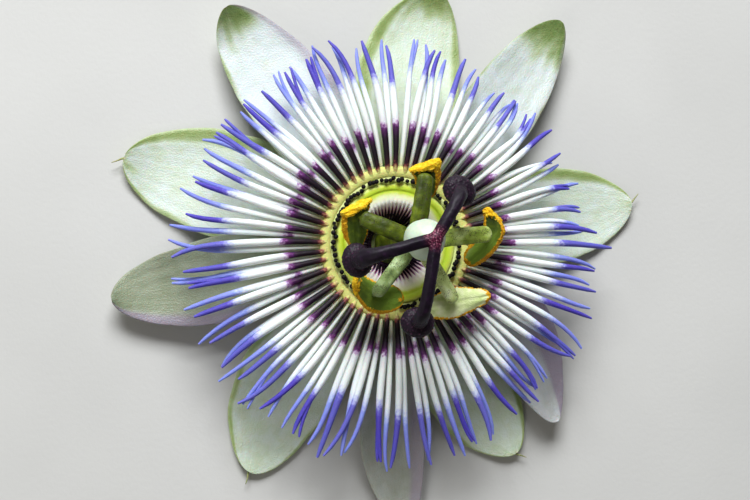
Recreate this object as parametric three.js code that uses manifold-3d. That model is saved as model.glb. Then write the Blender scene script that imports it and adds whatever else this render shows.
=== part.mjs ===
// A single picked passion flower, lying face up on a flat surface.
//
// Millimetres, +Z up. The flower's own axis is X = Y = 0 while it is being built; at the end the
// whole group is moved so that the origin is the centre of its bounding box, on the surface.
// Five sepals rest on the surface, five petals lie just above them, and both leave the wall of a
// shallow cup, the hypanthium. On the cup's rim stand two rows of long corona filaments and a ring
// of short pali. Inside, a folded membrane covers the nectar chamber round a leaning column, which
// carries five stamens, the ovary and three styles.
import * as THREE from "three";
import { mergeVertices } from "three/addons/utils/BufferGeometryUtils.js";
import Module from "manifold-3d";

const wasm = await Module();
wasm.setup();

// ---------------------------------------------------------------- driving dimensions
const GAP = 0.3; // clearance between neighbouring pieces
const DEGREE = Math.PI / 180;
const TURN = 2 * Math.PI;

const RIM_RADIUS = 13.0; // outer radius of the cup
const RIM_HEIGHT = 9.4; // top of the cup's rim above the surface
const RIM_INNER_RADIUS = 9.4;
const CUP_FOOT = 2.9; // underside of the cup
const CUP_FLOOR = 4.7; // inside of the cup, at its centre
const STALK_RADIUS = 1.6; // cut stalk below the cup

const TEPAL_START = RIM_RADIUS + GAP; // where sepals and petals leave the cup
const SEPAL_THICKNESS = 0.8;
const SEPAL_BASE_HEIGHT = 5.6; // middle of the sepal where it leaves the cup
const PETAL_THICKNESS = 0.6;
const PETAL_BASE_HEIGHT = 7.9;
const TEPAL_CUPPING = 1.0; // rise of the margins above the midline
const TEPAL_BASE_SHARE = 0.5; // width at the base, as a share of the greatest width
const TEPAL_WIDEST = 0.4; // where the greatest width lies along the length

// heading: direction the piece points, degrees from +X. reach: distance of its tip from the axis.
// bow: sideways bulge of the midline. sweep: sideways turn of the tip. low: height of the lowest
// point of the midline. curl: rise of the tip above that.
const SEPALS = [
  { heading: 162.2, reach: 46.7, halfWidth: 9.2, bow: -1.0, sweep: 0, low: 0.4, curl: 1.4 },
  { heading: 79.0, reach: 45.4, halfWidth: 9.1, bow: 1.7, sweep: 0, low: 0.4, curl: 2.2 },
  { heading: 10.2, reach: 45.3, halfWidth: 8.6, bow: 0.2, sweep: 0, low: 0.4, curl: 1.0 },
  { heading: -57.2, reach: 42.6, halfWidth: 8.1, bow: -0.8, sweep: 0, low: 0.4, curl: 1.0 },
  { heading: -121.4, reach: 44.8, halfWidth: 8.6, bow: -2.3, sweep: 0, low: 0.4, curl: 0.8 },
];
const PETALS = [
  { heading: 125.2, reach: 48.4, halfWidth: 7.8, bow: -0.4, sweep: 0, low: 3.2, curl: 2.6 },
  { heading: 51.8, reach: 50.0, halfWidth: 6.6, bow: -0.7, sweep: 0, low: 3.0, curl: 1.8 },
  { heading: -30.3, reach: 41.2, halfWidth: 7.4, bow: 1.4, sweep: -10.2, low: 3.4, curl: 0.6 },
  { heading: -86.0, reach: 48.0, halfWidth: 5.8, bow: -1.6, sweep: 0, low: 2.4, curl: 0.4 },
  { heading: 191.5, reach: 47.4, halfWidth: 7.2, bow: 0.3, sweep: 0, low: 2.8, curl: 1.2 },
];
const AWN_LENGTH = 1.6; // green horn that stands out beyond each sepal's tip
const AWN_RADIUS = 0.35;

const BRACT_COUNT = 3;
const BRACT_START = 2.9;
const BRACT_HEIGHT = 2.1;
const BRACT = { reach: 20.0, halfWidth: 6.2, bow: 0, sweep: 0, low: 0.3, curl: 0 };
const BRACT_THICKNESS = 0.5;
const FIRST_BRACT_HEADING = 42;

const CORONA_COUNT = 52; // filaments in each of the two long rows
// Reach of the corona at each eighth of a turn from +X: it is not quite round.
const CORONA_REACH = [36.7, 32.0, 33.8, 34.3, 36.2, 35.7, 36.8, 35.0];
const REACH_SPREAD = 1.0; // how much one filament may be longer or shorter than that
const SIDEWAYS_SPREAD = 0.9; // how far its tip may stray sideways
const UPPER_ROW = {
  ring: [11.2, 11.9, 9.7, 11.4], // inner and outer radius, bottom and top
  start: 11.6,
  heights: [11.2, 12.0, 12.3, 12.2, 11.9],
  radius: 0.56,
  turn: 0,
};
const LOWER_ROW = {
  ring: [12.2, 12.9, 9.7, 10.3],
  start: 12.6,
  heights: [9.98, 10.7, 10.9, 10.6, 10.1],
  radius: 0.42,
  turn: 0.5,
};

const PALI_COUNT = 90;
const PALI_RING = [10.3, 10.9, 9.7, 10.4];
const PALI_TOP = 12.0;
const PALI_STEM_RADIUS = 0.12;
const PALI_KNOB_RADIUS = 0.3;

const COLUMN_RADIUS = 2.1;
const COLUMN_BASE = 5.6;
const COLUMN_TOP = 20.6;
const LEAN = 7.5; // degrees that the column leans
const LEAN_HEADING = -5; // towards this heading
const LEAN_PIVOT = 8.0; // height of the point it leans about

const OVARY_RADIUS = 3.1;
const OVARY_HEIGHT = 6.8;

// All five stamens leave the top of the column. length: from its axis to the filament's tip.
// drop: how far the tip lies below the root. anther: where it starts, its middle and where it ends,
// as [outwards, leftwards, upwards] from the filament's tip. facing: the way its outer edge faces
// at its start and its end. widths: its width at those three places.
const STAMENS = [
  {
    heading: 81,
    length: 11.1,
    drop: 0,
    anther: [[1.7, 0.3, -1.0], [-0.4, -0.9, -2.2], [-3.3, -2.2, -4.6]],
    facing: [[0.49, -0.87, 0.1], [0.46, -0.89, 0.1]],
    widths: [4.9, 4.2, 2.6],
  },
  {
    heading: 158,
    length: 9.8,
    drop: 0.2,
    anther: [[1.1, -2.0, -1.2], [0.2, 0.5, -2.2], [-2.0, 4.4, -4.4]],
    facing: [[0.66, 0.75, 0.1], [0.88, 0.46, 0.1]],
    widths: [5.0, 4.4, 3.4],
  },
  {
    heading: 233,
    length: 11.1,
    drop: 0.3,
    anther: [[-0.3, -4.3, -1.2], [0, 0.2, -2.1], [-2.9, 4.5, -2.8]],
    facing: [[0.94, 0.33, 0], [0.81, 0.59, 0]],
    widths: [3.0, 4.8, 4.6],
  },
  {
    heading: 304,
    length: 11.9,
    drop: 0.5,
    anther: [[-1.5, -4.1, -2.3], [0.2, 0.2, -2.1], [2.5, 5.9, -1.6]],
    facing: [[0.81, -0.59, 0], [0.93, -0.37, 0]],
    widths: [3.2, 4.8, 2.2],
  },
  {
    heading: 6,
    length: 12.8,
    drop: 0.3,
    anther: [[-0.2, 4.3, -1.2], [0.9, 0.1, -2.1], [-3.6, -4.6, -4.2]],
    facing: [[0.97, 0.26, 0], [0.75, -0.66, 0]],
    widths: [1.4, 3.5, 4.2],
  },
];
const FILAMENT_WIDTH = 2.7; // the stamens' filaments are flattened
const FILAMENT_THICKNESS = 1.4;
const ANTHER_THICKNESS = 1.5;

// The three styles share one root above the ovary. reach: sideways from there to the stigma.
// drop: how far the stigma hangs below the root.
const STYLES = [
  { heading: 59, reach: 9.1, drop: 3.8 },
  { heading: 196, reach: 12.1, drop: 4.8 },
  { heading: 262, reach: 13.2, drop: 5.2 },
];
const STYLE_RADIUS = 0.95;
const STIGMA_RADIUS = 2.8;
const STIGMA_THICKNESS = 3.0;

// ---------------------------------------------------------------- materials
const finish = (color, roughness) =>
  new THREE.MeshStandardMaterial({ color, roughness, metalness: 0 });
const SEPAL_FLESH = finish(0xdfe8d2, 0.6);
const PETAL_FLESH = finish(0xe9eee4, 0.6);
const LEAF_GREEN = finish(0x6f8f45, 0.65);
const CUP_GREEN = finish(0xb5c87a, 0.6);
const CORONA_WHITE = finish(0xeef0ea, 0.5);
const PALI_DARK = finish(0x1a1118, 0.45);
const MEMBRANE_LIME = finish(0xc4d46a, 0.5);
const STAMEN_GREEN = finish(0x9fb85c, 0.55);
const POLLEN_YELLOW = finish(0xd8a51c, 0.8);
const OVARY_PALE = finish(0xe6f2d8, 0.45);
const STYLE_PURPLE = finish(0x2c1a2b, 0.4);

// ---------------------------------------------------------------- solids and booleans
function geometryFrom(points, triangles) {
  const geometry = new THREE.BufferGeometry();
  geometry.setAttribute("position", new THREE.Float32BufferAttribute(points.flat(), 3));
  geometry.setIndex(triangles.flat());
  return geometry;
}

function solidFrom(geometry) {
  const bare = geometry.clone();
  bare.deleteAttribute("normal");
  bare.deleteAttribute("uv");
  const merged = mergeVertices(bare, 1e-4);
  return new wasm.Manifold(
    new wasm.Mesh({
      numProp: 3,
      vertProperties: merged.attributes.position.array,
      triVerts: new Uint32Array(merged.index.array),
    }),
  );
}

function geometryOf(solid) {
  const mesh = solid.getMesh();
  const geometry = new THREE.BufferGeometry();
  geometry.setAttribute("position", new THREE.BufferAttribute(mesh.vertProperties, 3));
  geometry.setIndex(new THREE.BufferAttribute(mesh.triVerts, 1));
  return geometry;
}

function joined(geometries) {
  return geometryOf(geometries.map(solidFrom).reduce((all, one) => all.add(one)));
}

// A closed solid through rings of points, each ring with the same number of points, in order.
function loft(rings) {
  const around = rings[0].length;
  const last = (rings.length - 1) * around;
  const triangles = [];
  for (let i = 0; i < rings.length - 1; i++)
    for (let j = 0; j < around; j++) {
      const a = i * around + j;
      const b = i * around + ((j + 1) % around);
      triangles.push([a, b, b + around], [a, b + around, a + around]);
    }
  for (let j = 1; j < around - 1; j++) {
    triangles.push([0, j + 1, j]);
    triangles.push([last, last + j, last + j + 1]);
  }
  return geometryFrom(rings.flat(), triangles);
}

// Which way a section's width lies where its thickness points as near to `up` as its curve allows.
const squareTo = (up) => (t, tangent) => new THREE.Vector3().crossVectors(up, tangent).normalize();

// A loft along a curve. Each station gives [half width, half thickness] of its oval section, and
// acrossAt says which way its width lies.
function ovalLoft(curve, stations, acrossAt, sides) {
  const rings = stations.map(([halfWidth, halfThickness], k) => {
    const t = k / (stations.length - 1);
    const centre = curve.getPoint(t);
    const tangent = curve.getTangent(t);
    const across = acrossAt(t, tangent);
    const normal = new THREE.Vector3().crossVectors(tangent, across).normalize();
    return Array.from({ length: sides }, (_, j) => {
      const turn = (j * TURN) / sides;
      return centre
        .clone()
        .addScaledVector(across, halfWidth * Math.cos(turn))
        .addScaledVector(normal, halfThickness * Math.sin(turn))
        .toArray();
    });
  });
  return loft(rings);
}

// A lathe round +Z. The profile holds [radius, height] pairs and closes on itself or on the axis.
function turned(profile, segments) {
  const points = profile.map(([radius, height]) => new THREE.Vector2(radius, height));
  return new THREE.LatheGeometry(points, segments).rotateX(Math.PI / 2);
}

function ringSolid([inner, outer, bottom, top], segments) {
  const profile = [
    [inner, bottom],
    [outer, bottom],
    [outer, top],
    [inner, top],
    [inner, bottom],
  ];
  return turned(profile, segments);
}

const ease = (t) => t * t * (3 - 2 * t);

// ---------------------------------------------------------------- sepals, petals and bracts
const BLADE_STATIONS = [0, 0.14, 0.28, 0.42, 0.56, 0.7, 0.82, 0.92, 0.985];
const BLADE_ACROSS = [-1, -0.55, 0, 0.55, 1];
const LOWEST_AT = 0.82; // where along its length the midline is lowest

function widthShare(s) {
  if (s < TEPAL_WIDEST)
    return TEPAL_BASE_SHARE + (1 - TEPAL_BASE_SHARE) * Math.sin((s / TEPAL_WIDEST) * 90 * DEGREE);
  const beyond = (s - TEPAL_WIDEST) / (1 - TEPAL_WIDEST);
  return (1 - beyond ** 2.2) ** 0.56;
}

function midlineHeight(blade, baseHeight, s) {
  if (s < LOWEST_AT) return baseHeight + (blade.low - baseHeight) * ease(s / LOWEST_AT);
  return blade.low + blade.curl * ((s - LOWEST_AT) / (1 - LOWEST_AT)) ** 2;
}

// A thin cupped leaf: at each station a ring of points, along the underside and back over the top.
function bladeGeometry(blade, start, baseHeight, thickness) {
  const rings = BLADE_STATIONS.map((s) => {
    const along = start + s * (blade.reach - start);
    const share = widthShare(s);
    const middle = blade.bow * Math.sin(Math.PI * s) + blade.sweep * s * s;
    const height = midlineHeight(blade, baseHeight, s);
    const point = (v, side) => [
      along,
      middle + v * blade.halfWidth * share,
      height + TEPAL_CUPPING * share * share * v * v + (side * thickness) / 2,
    ];
    const under = BLADE_ACROSS.map((v) => point(v, -1));
    const over = BLADE_ACROSS.map((v) => point(v, 1)).reverse();
    return [...under, ...over];
  });
  return loft(rings);
}

function awnGeometry(sepal) {
  const height = midlineHeight(sepal, SEPAL_BASE_HEIGHT, BLADE_STATIONS.at(-1));
  return new THREE.CylinderGeometry(AWN_RADIUS * 0.3, AWN_RADIUS, 2 * AWN_LENGTH, 6)
    .rotateZ(-Math.PI / 2)
    .translate(sepal.reach - 0.3, 0, height);
}

const sepalGeometry = (sepal) =>
  joined([
    bladeGeometry(sepal, TEPAL_START, SEPAL_BASE_HEIGHT, SEPAL_THICKNESS),
    awnGeometry(sepal),
  ]);

const petalGeometry = (petal) =>
  bladeGeometry(petal, TEPAL_START, PETAL_BASE_HEIGHT, PETAL_THICKNESS);

const bractGeometry = () => bladeGeometry(BRACT, BRACT_START, BRACT_HEIGHT, BRACT_THICKNESS);

// ---------------------------------------------------------------- cup and stalk
const cupGeometry = () =>
  turned(
    [
      [0, CUP_FOOT],
      [4.8, CUP_FOOT],
      [9.6, 3.6],
      [12.3, 4.7],
      [RIM_RADIUS, 6.2],
      [RIM_RADIUS, RIM_HEIGHT],
      [RIM_INNER_RADIUS, RIM_HEIGHT],
      [8.8, 7.4],
      [6.8, 5.4],
      [4.8, CUP_FLOOR],
      [0, CUP_FLOOR],
    ],
    36,
  );

const stalkGeometry = () =>
  turned(
    [
      [0, 0],
      [STALK_RADIUS, 0],
      [STALK_RADIUS, 1.6],
      [STALK_RADIUS + 0.5, CUP_FOOT - GAP],
      [0, CUP_FOOT - GAP],
    ],
    12,
  );

// ---------------------------------------------------------------- corona
const FILAMENT_STATIONS = [0, 0.3, 0.62, 0.85, 1];
const FILAMENT_TAPER = [0.95, 1, 0.92, 0.62, 0.25];
const DIAMOND = [0.5, 1.5, 2.5, 3.5]; // quarter turns to the corners of a filament's section

function coronaReach(share) {
  const eighth = share * CORONA_REACH.length;
  const before = Math.floor(eighth) % CORONA_REACH.length;
  const after = (before + 1) % CORONA_REACH.length;
  return THREE.MathUtils.lerp(CORONA_REACH[before], CORONA_REACH[after], ease(eighth % 1));
}

function coronaFilament(row, index) {
  const share = (index + row.turn) / CORONA_COUNT;
  const reach = coronaReach(share) + REACH_SPREAD * Math.sin(2.4 * index);
  const rings = FILAMENT_STATIONS.map((t, k) => {
    const along = row.start + t * (reach - row.start);
    const sideways = SIDEWAYS_SPREAD * Math.sin(4.1 * index) * t ** 3;
    const radius = row.radius * FILAMENT_TAPER[k];
    return DIAMOND.map((quarter) => [
      along,
      sideways + radius * Math.cos((quarter * TURN) / 4),
      row.heights[k] + radius * Math.sin((quarter * TURN) / 4),
    ]);
  });
  return loft(rings).rotateZ(share * TURN);
}

function coronaRowGeometry(row) {
  const pieces = [ringSolid(row.ring, CORONA_COUNT)];
  for (let i = 0; i < CORONA_COUNT; i++) pieces.push(coronaFilament(row, i));
  return joined(pieces);
}

// Short upright filaments, each widening to a dark knob.
function paliGeometry() {
  const [inner, outer, , ringTop] = PALI_RING;
  const middle = (inner + outer) / 2;
  const square = (radius, height) =>
    DIAMOND.map((quarter) => [
      middle + radius * Math.cos((quarter * TURN) / 4),
      radius * Math.sin((quarter * TURN) / 4),
      height,
    ]);
  const pieces = [ringSolid(PALI_RING, PALI_COUNT / 2)];
  for (let i = 0; i < PALI_COUNT; i++) {
    const stem = [square(PALI_STEM_RADIUS, ringTop - 0.2), square(PALI_KNOB_RADIUS, PALI_TOP)];
    pieces.push(loft(stem).rotateZ(((i + 0.5) * TURN) / PALI_COUNT));
  }
  return joined(pieces);
}

// ---------------------------------------------------------------- nectar chamber
const membraneGeometry = () =>
  turned(
    [
      [10.0, 9.7],
      [10.0, 11.2],
      [9.2, 11.4],
      [8.2, 10.6],
      [6.0, 9.2],
      [4.2, 7.6],
      [4.2, 6.9],
      [5.9, 8.3],
      [8.0, 9.7],
      [10.0, 9.7],
    ],
    40,
  );

const nectarRingGeometry = () => ringSolid([3.2, 4.1, CUP_FLOOR + GAP, 6.6], 24);

// ---------------------------------------------------------------- column and ovary
const columnGeometry = () =>
  turned(
    [
      [0, COLUMN_BASE],
      [COLUMN_RADIUS + 0.3, COLUMN_BASE],
      [COLUMN_RADIUS, COLUMN_BASE + 2.0],
      [COLUMN_RADIUS - 0.3, COLUMN_TOP - 5],
      [COLUMN_RADIUS, COLUMN_TOP],
      [0, COLUMN_TOP],
    ],
    16,
  );

function ovaryGeometry() {
  const profile = [];
  for (let k = 0; k <= 8; k++) {
    const rise = (k / 8 - 0.5) * Math.PI;
    const radius = k % 8 === 0 ? 0 : OVARY_RADIUS * Math.cos(rise);
    profile.push([radius, COLUMN_TOP + GAP + (OVARY_HEIGHT / 2) * (1 + Math.sin(rise))]);
  }
  return turned(profile, 16);
}

// ---------------------------------------------------------------- stamens
const UP = new THREE.Vector3(0, 0, 1);
const ROOT_BELOW_TOP = 0.95; // middle of the filament's root, below the top of the column

// Flattened filament, along +X from the column's axis.
function stamenFilamentGeometry(stamen) {
  const root = COLUMN_RADIUS + 1.6 * GAP;
  const curve = new THREE.CatmullRomCurve3([
    new THREE.Vector3(root, 0, 0),
    new THREE.Vector3(stamen.length * 0.55, 0, 0.3),
    new THREE.Vector3(stamen.length, 0, -stamen.drop),
  ]);
  const section = [FILAMENT_WIDTH / 2, FILAMENT_THICKNESS / 2];
  const shares = [0.84, 0.98, 1, 0.96, 0.8];
  const stations = shares.map((share) => section.map((half) => half * share));
  return ovalLoft(curve, stations, squareTo(UP), 8);
}

// Boat-shaped anther, hung by its middle under the tip of the filament.
function antherGeometry({ length, drop, anther, facing, widths }) {
  const tip = new THREE.Vector3(length, 0, -drop);
  const curve = new THREE.CatmullRomCurve3(
    anther.map((point) => new THREE.Vector3(...point).add(tip)),
  );
  const [start, middle, end] = widths;
  const shares = [0.75, 1, 1, 1, 1, 0.96, 0.82, 0.42];
  const stations = shares.map((share, k) => {
    const t = (2 * k) / (shares.length - 1);
    const width = t < 1 ? start + (middle - start) * t : middle + (end - middle) * (t - 1);
    return [(width / 2) * share, (ANTHER_THICKNESS / 2) * share];
  });
  const [from, to] = facing.map((way) => new THREE.Vector3(...way));
  return ovalLoft(curve, stations, (t) => from.clone().lerp(to, t).normalize(), 8);
}

// ---------------------------------------------------------------- styles
const STYLE_ROOT_LIFT = 1.3; // root of the styles above the top of the ovary

// Each style reaches sideways and hooks down into the cap-shaped stigma at its end.
function stylesGeometry() {
  const pieces = [new THREE.SphereGeometry(STYLE_RADIUS * 1.3, 12, 8).scale(1, 1, 0.7)];
  for (const { heading, reach, drop } of STYLES) {
    const curve = new THREE.CatmullRomCurve3([
      new THREE.Vector3(0, 0, 0),
      new THREE.Vector3(reach * 0.45, 0, 0.1),
      new THREE.Vector3(reach * 0.85, 0, -drop * 0.25),
      new THREE.Vector3(reach + 0.2, 0, -drop * 0.85),
    ]);
    const stations = Array(7).fill([STYLE_RADIUS, STYLE_RADIUS]);
    const stigma = new THREE.SphereGeometry(STIGMA_RADIUS, 12, 7)
      .rotateX(Math.PI / 2)
      .scale(1, 1, STIGMA_THICKNESS / (2 * STIGMA_RADIUS))
      .translate(reach, 0, -drop);
    const arm = ovalLoft(curve, stations, squareTo(new THREE.Vector3(0, 1, 0)), 8);
    pieces.push(arm.rotateZ(heading * DEGREE), stigma.rotateZ(heading * DEGREE));
  }
  return joined(pieces);
}

// ---------------------------------------------------------------- assembly
const flower = new THREE.Group();

function place(parent, name, geometry, material, heading = 0) {
  const mesh = new THREE.Mesh(geometry, material);
  mesh.name = name;
  mesh.rotation.z = heading * DEGREE;
  parent.add(mesh);
}

place(flower, "stalk", stalkGeometry(), LEAF_GREEN);
place(flower, "hypanthium", cupGeometry(), CUP_GREEN);
for (let i = 0; i < BRACT_COUNT; i++) {
  const heading = FIRST_BRACT_HEADING + (i * 360) / BRACT_COUNT;
  place(flower, `bract_${i + 1}`, bractGeometry(), LEAF_GREEN, heading);
}
SEPALS.forEach((sepal, i) =>
  place(flower, `sepal_${i + 1}`, sepalGeometry(sepal), SEPAL_FLESH, sepal.heading),
);
PETALS.forEach((petal, i) =>
  place(flower, `petal_${i + 1}`, petalGeometry(petal), PETAL_FLESH, petal.heading),
);
place(flower, "corona_lower_row", coronaRowGeometry(LOWER_ROW), CORONA_WHITE);
place(flower, "corona_upper_row", coronaRowGeometry(UPPER_ROW), CORONA_WHITE);
place(flower, "pali", paliGeometry(), PALI_DARK);
place(flower, "operculum", membraneGeometry(), MEMBRANE_LIME);
place(flower, "limen", nectarRingGeometry(), MEMBRANE_LIME);

// The column and the ovary lean together, about a point low in the cup.
const leaning = new THREE.Group();
leaning.position.z = LEAN_PIVOT;
leaning.quaternion.setFromAxisAngle(
  new THREE.Vector3(-Math.sin(LEAN_HEADING * DEGREE), Math.cos(LEAN_HEADING * DEGREE), 0),
  LEAN * DEGREE,
);
flower.add(leaning);
place(leaning, "androgynophore", columnGeometry().translate(0, 0, -LEAN_PIVOT), STAMEN_GREEN);
place(leaning, "ovary", ovaryGeometry().translate(0, 0, -LEAN_PIVOT), OVARY_PALE);

// A group with the flower's own directions, at a point given by its height on the leaning column.
function groupOnColumn(height) {
  const group = new THREE.Group();
  group.position.set(0, 0, height - LEAN_PIVOT).applyQuaternion(leaning.quaternion);
  group.position.z += LEAN_PIVOT;
  flower.add(group);
  return group;
}

const stamens = groupOnColumn(COLUMN_TOP - ROOT_BELOW_TOP);
STAMENS.forEach((stamen, i) => {
  const filament = stamenFilamentGeometry(stamen);
  place(stamens, `stamen_filament_${i + 1}`, filament, STAMEN_GREEN, stamen.heading);
  place(stamens, `anther_${i + 1}`, antherGeometry(stamen), POLLEN_YELLOW, stamen.heading);
});

const styleRoot = groupOnColumn(COLUMN_TOP + GAP + OVARY_HEIGHT + STYLE_ROOT_LIFT);
place(styleRoot, "styles", stylesGeometry(), STYLE_PURPLE);

// The origin goes to the middle of the flower's box, on the surface it rests on.
flower.updateMatrixWorld(true);
const bounds = new THREE.Box3().setFromObject(flower, true);
const centre = bounds.getCenter(new THREE.Vector3());
flower.position.set(-centre.x, -centre.y, -bounds.min.z);
flower.updateMatrixWorld(true);

export default flower;
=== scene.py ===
import math

import bmesh
import bpy
from mathutils import Matrix, Vector, noise


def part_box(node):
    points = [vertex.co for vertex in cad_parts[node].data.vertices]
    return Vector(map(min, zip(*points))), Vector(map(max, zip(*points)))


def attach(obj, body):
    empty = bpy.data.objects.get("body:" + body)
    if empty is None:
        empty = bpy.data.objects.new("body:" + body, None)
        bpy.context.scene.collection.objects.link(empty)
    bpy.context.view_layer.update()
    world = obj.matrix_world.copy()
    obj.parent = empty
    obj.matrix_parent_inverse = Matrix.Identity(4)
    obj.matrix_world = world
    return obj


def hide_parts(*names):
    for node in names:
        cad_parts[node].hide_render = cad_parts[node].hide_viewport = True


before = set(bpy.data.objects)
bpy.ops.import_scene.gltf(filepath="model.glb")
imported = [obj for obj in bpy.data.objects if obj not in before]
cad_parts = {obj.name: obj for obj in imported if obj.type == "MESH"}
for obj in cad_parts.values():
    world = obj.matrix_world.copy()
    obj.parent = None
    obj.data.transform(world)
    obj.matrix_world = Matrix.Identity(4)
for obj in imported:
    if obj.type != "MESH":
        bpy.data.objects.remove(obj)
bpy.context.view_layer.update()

# A single picked passion flower, lying face up, built in the order it grows: stalk and bracts, cup,
# sepals, petals, the two corona rows, pali, nectar membrane, column, ovary, stamens and styles.
# Shapes are worked out in millimetres from the flower's own axis, with the surface at height 0.
MM = 0.001

# ------------ camera
# It looks down on the flower from 28 cm away, almost straight above and a little from the left,
# and aims a few millimetres beside the flower's axis, which is the middle of the cup.
CUP_LOW, CUP_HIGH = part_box("hypanthium")
AXIS = Vector(((CUP_LOW.x + CUP_HIGH.x) / 2, (CUP_LOW.y + CUP_HIGH.y) / 2, 0))
AIM = (-3.708, -1.280, 12.0)
BACK_FROM_AIM = (-0.1908, -0.0523, 0.9802)
CAMERA_DISTANCE = 280
LENS, SENSOR = 81.45, 36.0


def in_frame(point):
    """A point in millimetres from the flower's axis, as a point of the frame in metres."""
    return Vector(point) * MM + AXIS


def turned_to(back, upward=(0, 1, 0)):
    """The rotation of a camera or lamp that faces against `back`, with `upward` at its top."""
    back = Vector(back).normalized()
    right = Vector(upward).cross(back).normalized()
    return Matrix((right, back.cross(right), back)).transposed().to_euler()


lens = bpy.data.cameras.new("camera")
lens.lens, lens.sensor_width = LENS, SENSOR
lens.clip_start, lens.clip_end = 0.01, 10
camera = bpy.data.objects.new("camera", lens)
camera.location = in_frame(Vector(AIM) + Vector(BACK_FROM_AIM).normalized() * CAMERA_DISTANCE)
camera.rotation_euler = turned_to(BACK_FROM_AIM)
bpy.context.scene.collection.objects.link(camera)
bpy.context.scene.camera = camera

# ------------ floor and lights
# A plain matt tabletop, one wide soft light beyond the top of the flower, a weak one from the
# near left, and a dim even sky that fills the shadows.
FLOOR_SIZE = 1600
FLOOR_COLOUR = "#cdccc8"
SKY_COLOUR, SKY_STRENGTH = "#ebe9e2", 0.13
# name: (place in mm, width, height, watts, colour)
LAMPS = {
    "window": ((-110, 500, 470), 420, 280, 7.8, "#f8fbff"),
    "near_fill": ((-260, -220, 320), 260, 260, 0.3, "#fbf8f0"),
}


def paint(code):
    """An sRGB hex colour as the linear RGBA that nodes take."""
    shares = [int(code[i : i + 2], 16) / 255 for i in (1, 3, 5)]
    linear = [c / 12.92 if c <= 0.04045 else ((c + 0.055) / 1.055) ** 2.4 for c in shares]
    return (*linear, 1.0)


# Where a Mix node has its two colours among its inputs, and the result among its outputs.
MIX_A, MIX_B, MIX_OUT = 6, 7, 2


class Term:
    """A value in a node tree. Arithmetic on it adds a Math node and gives the result."""

    def __init__(self, nodes, socket):
        self.nodes, self.socket = nodes, socket

    def __add__(self, other):
        return self.nodes.maths("ADD", self, other)

    def __sub__(self, other):
        return self.nodes.maths("SUBTRACT", self, other)

    def __rsub__(self, other):
        return self.nodes.maths("SUBTRACT", other, self)

    def __mul__(self, other):
        return self.nodes.maths("MULTIPLY", self, other)

    def __truediv__(self, other):
        return self.nodes.maths("DIVIDE", self, other)

    def __mod__(self, other):
        return self.nodes.maths("MODULO", self, other)

    def __pow__(self, other):
        return self.nodes.maths("POWER", self, other)

    def __lt__(self, other):
        return self.nodes.maths("LESS_THAN", self, other)

    def __gt__(self, other):
        return self.nodes.maths("GREATER_THAN", self, other)

    def beside(self, name):
        """Another output of the same node."""
        return Term(self.nodes, self.socket.node.outputs[name])


class Nodes:
    """A node tree, with a short way to add each kind of node that the pieces need."""

    def __init__(self, tree):
        self.tree = tree

    def add(self, kind, inputs=None, stops=(), out=0, **settings):
        """Adds a node and returns one of its outputs. inputs gives an input, by name or number, a
        value, a Term, or a list of Terms where it takes several."""
        made = self.tree.nodes.new(kind)
        for name, value in settings.items():
            setattr(made, name, value)
        if kind == "ShaderNodeValToRGB":
            marks = made.color_ramp.elements
            marks.remove(marks[1])
            marks[0].position, marks[0].color = stops[0][0], paint(stops[0][1])
            for place, colour in stops[1:]:
                marks.new(place).color = paint(colour)
        elif stops:
            curve = made.mapping.curves[0].points
            curve[0].location, curve[1].location = stops[0], stops[-1]
            for spot in stops[1:-1]:
                curve.new(*spot)
            made.mapping.update()
        for name, value in (inputs or {}).items():
            for each in value if isinstance(value, list) else [value]:
                if isinstance(each, Term):
                    self.tree.links.new(each.socket, made.inputs[name])
                else:
                    made.inputs[name].default_value = each
        return Term(self, made.outputs[out])

    def maths(self, operation, *values):
        """The result of a Math node on numbers or Terms."""
        return self.add("ShaderNodeMath", dict(enumerate(values)), operation=operation)

    def remap(self, value, low=0.0, high=1.0, to_low=0.0, to_high=1.0):
        """Moves a value from the range low to high into another one, and holds it there."""
        inputs = {"Value": value, 1: low, 2: high, 3: to_low, 4: to_high}
        return self.add("ShaderNodeMapRange", inputs)


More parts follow.
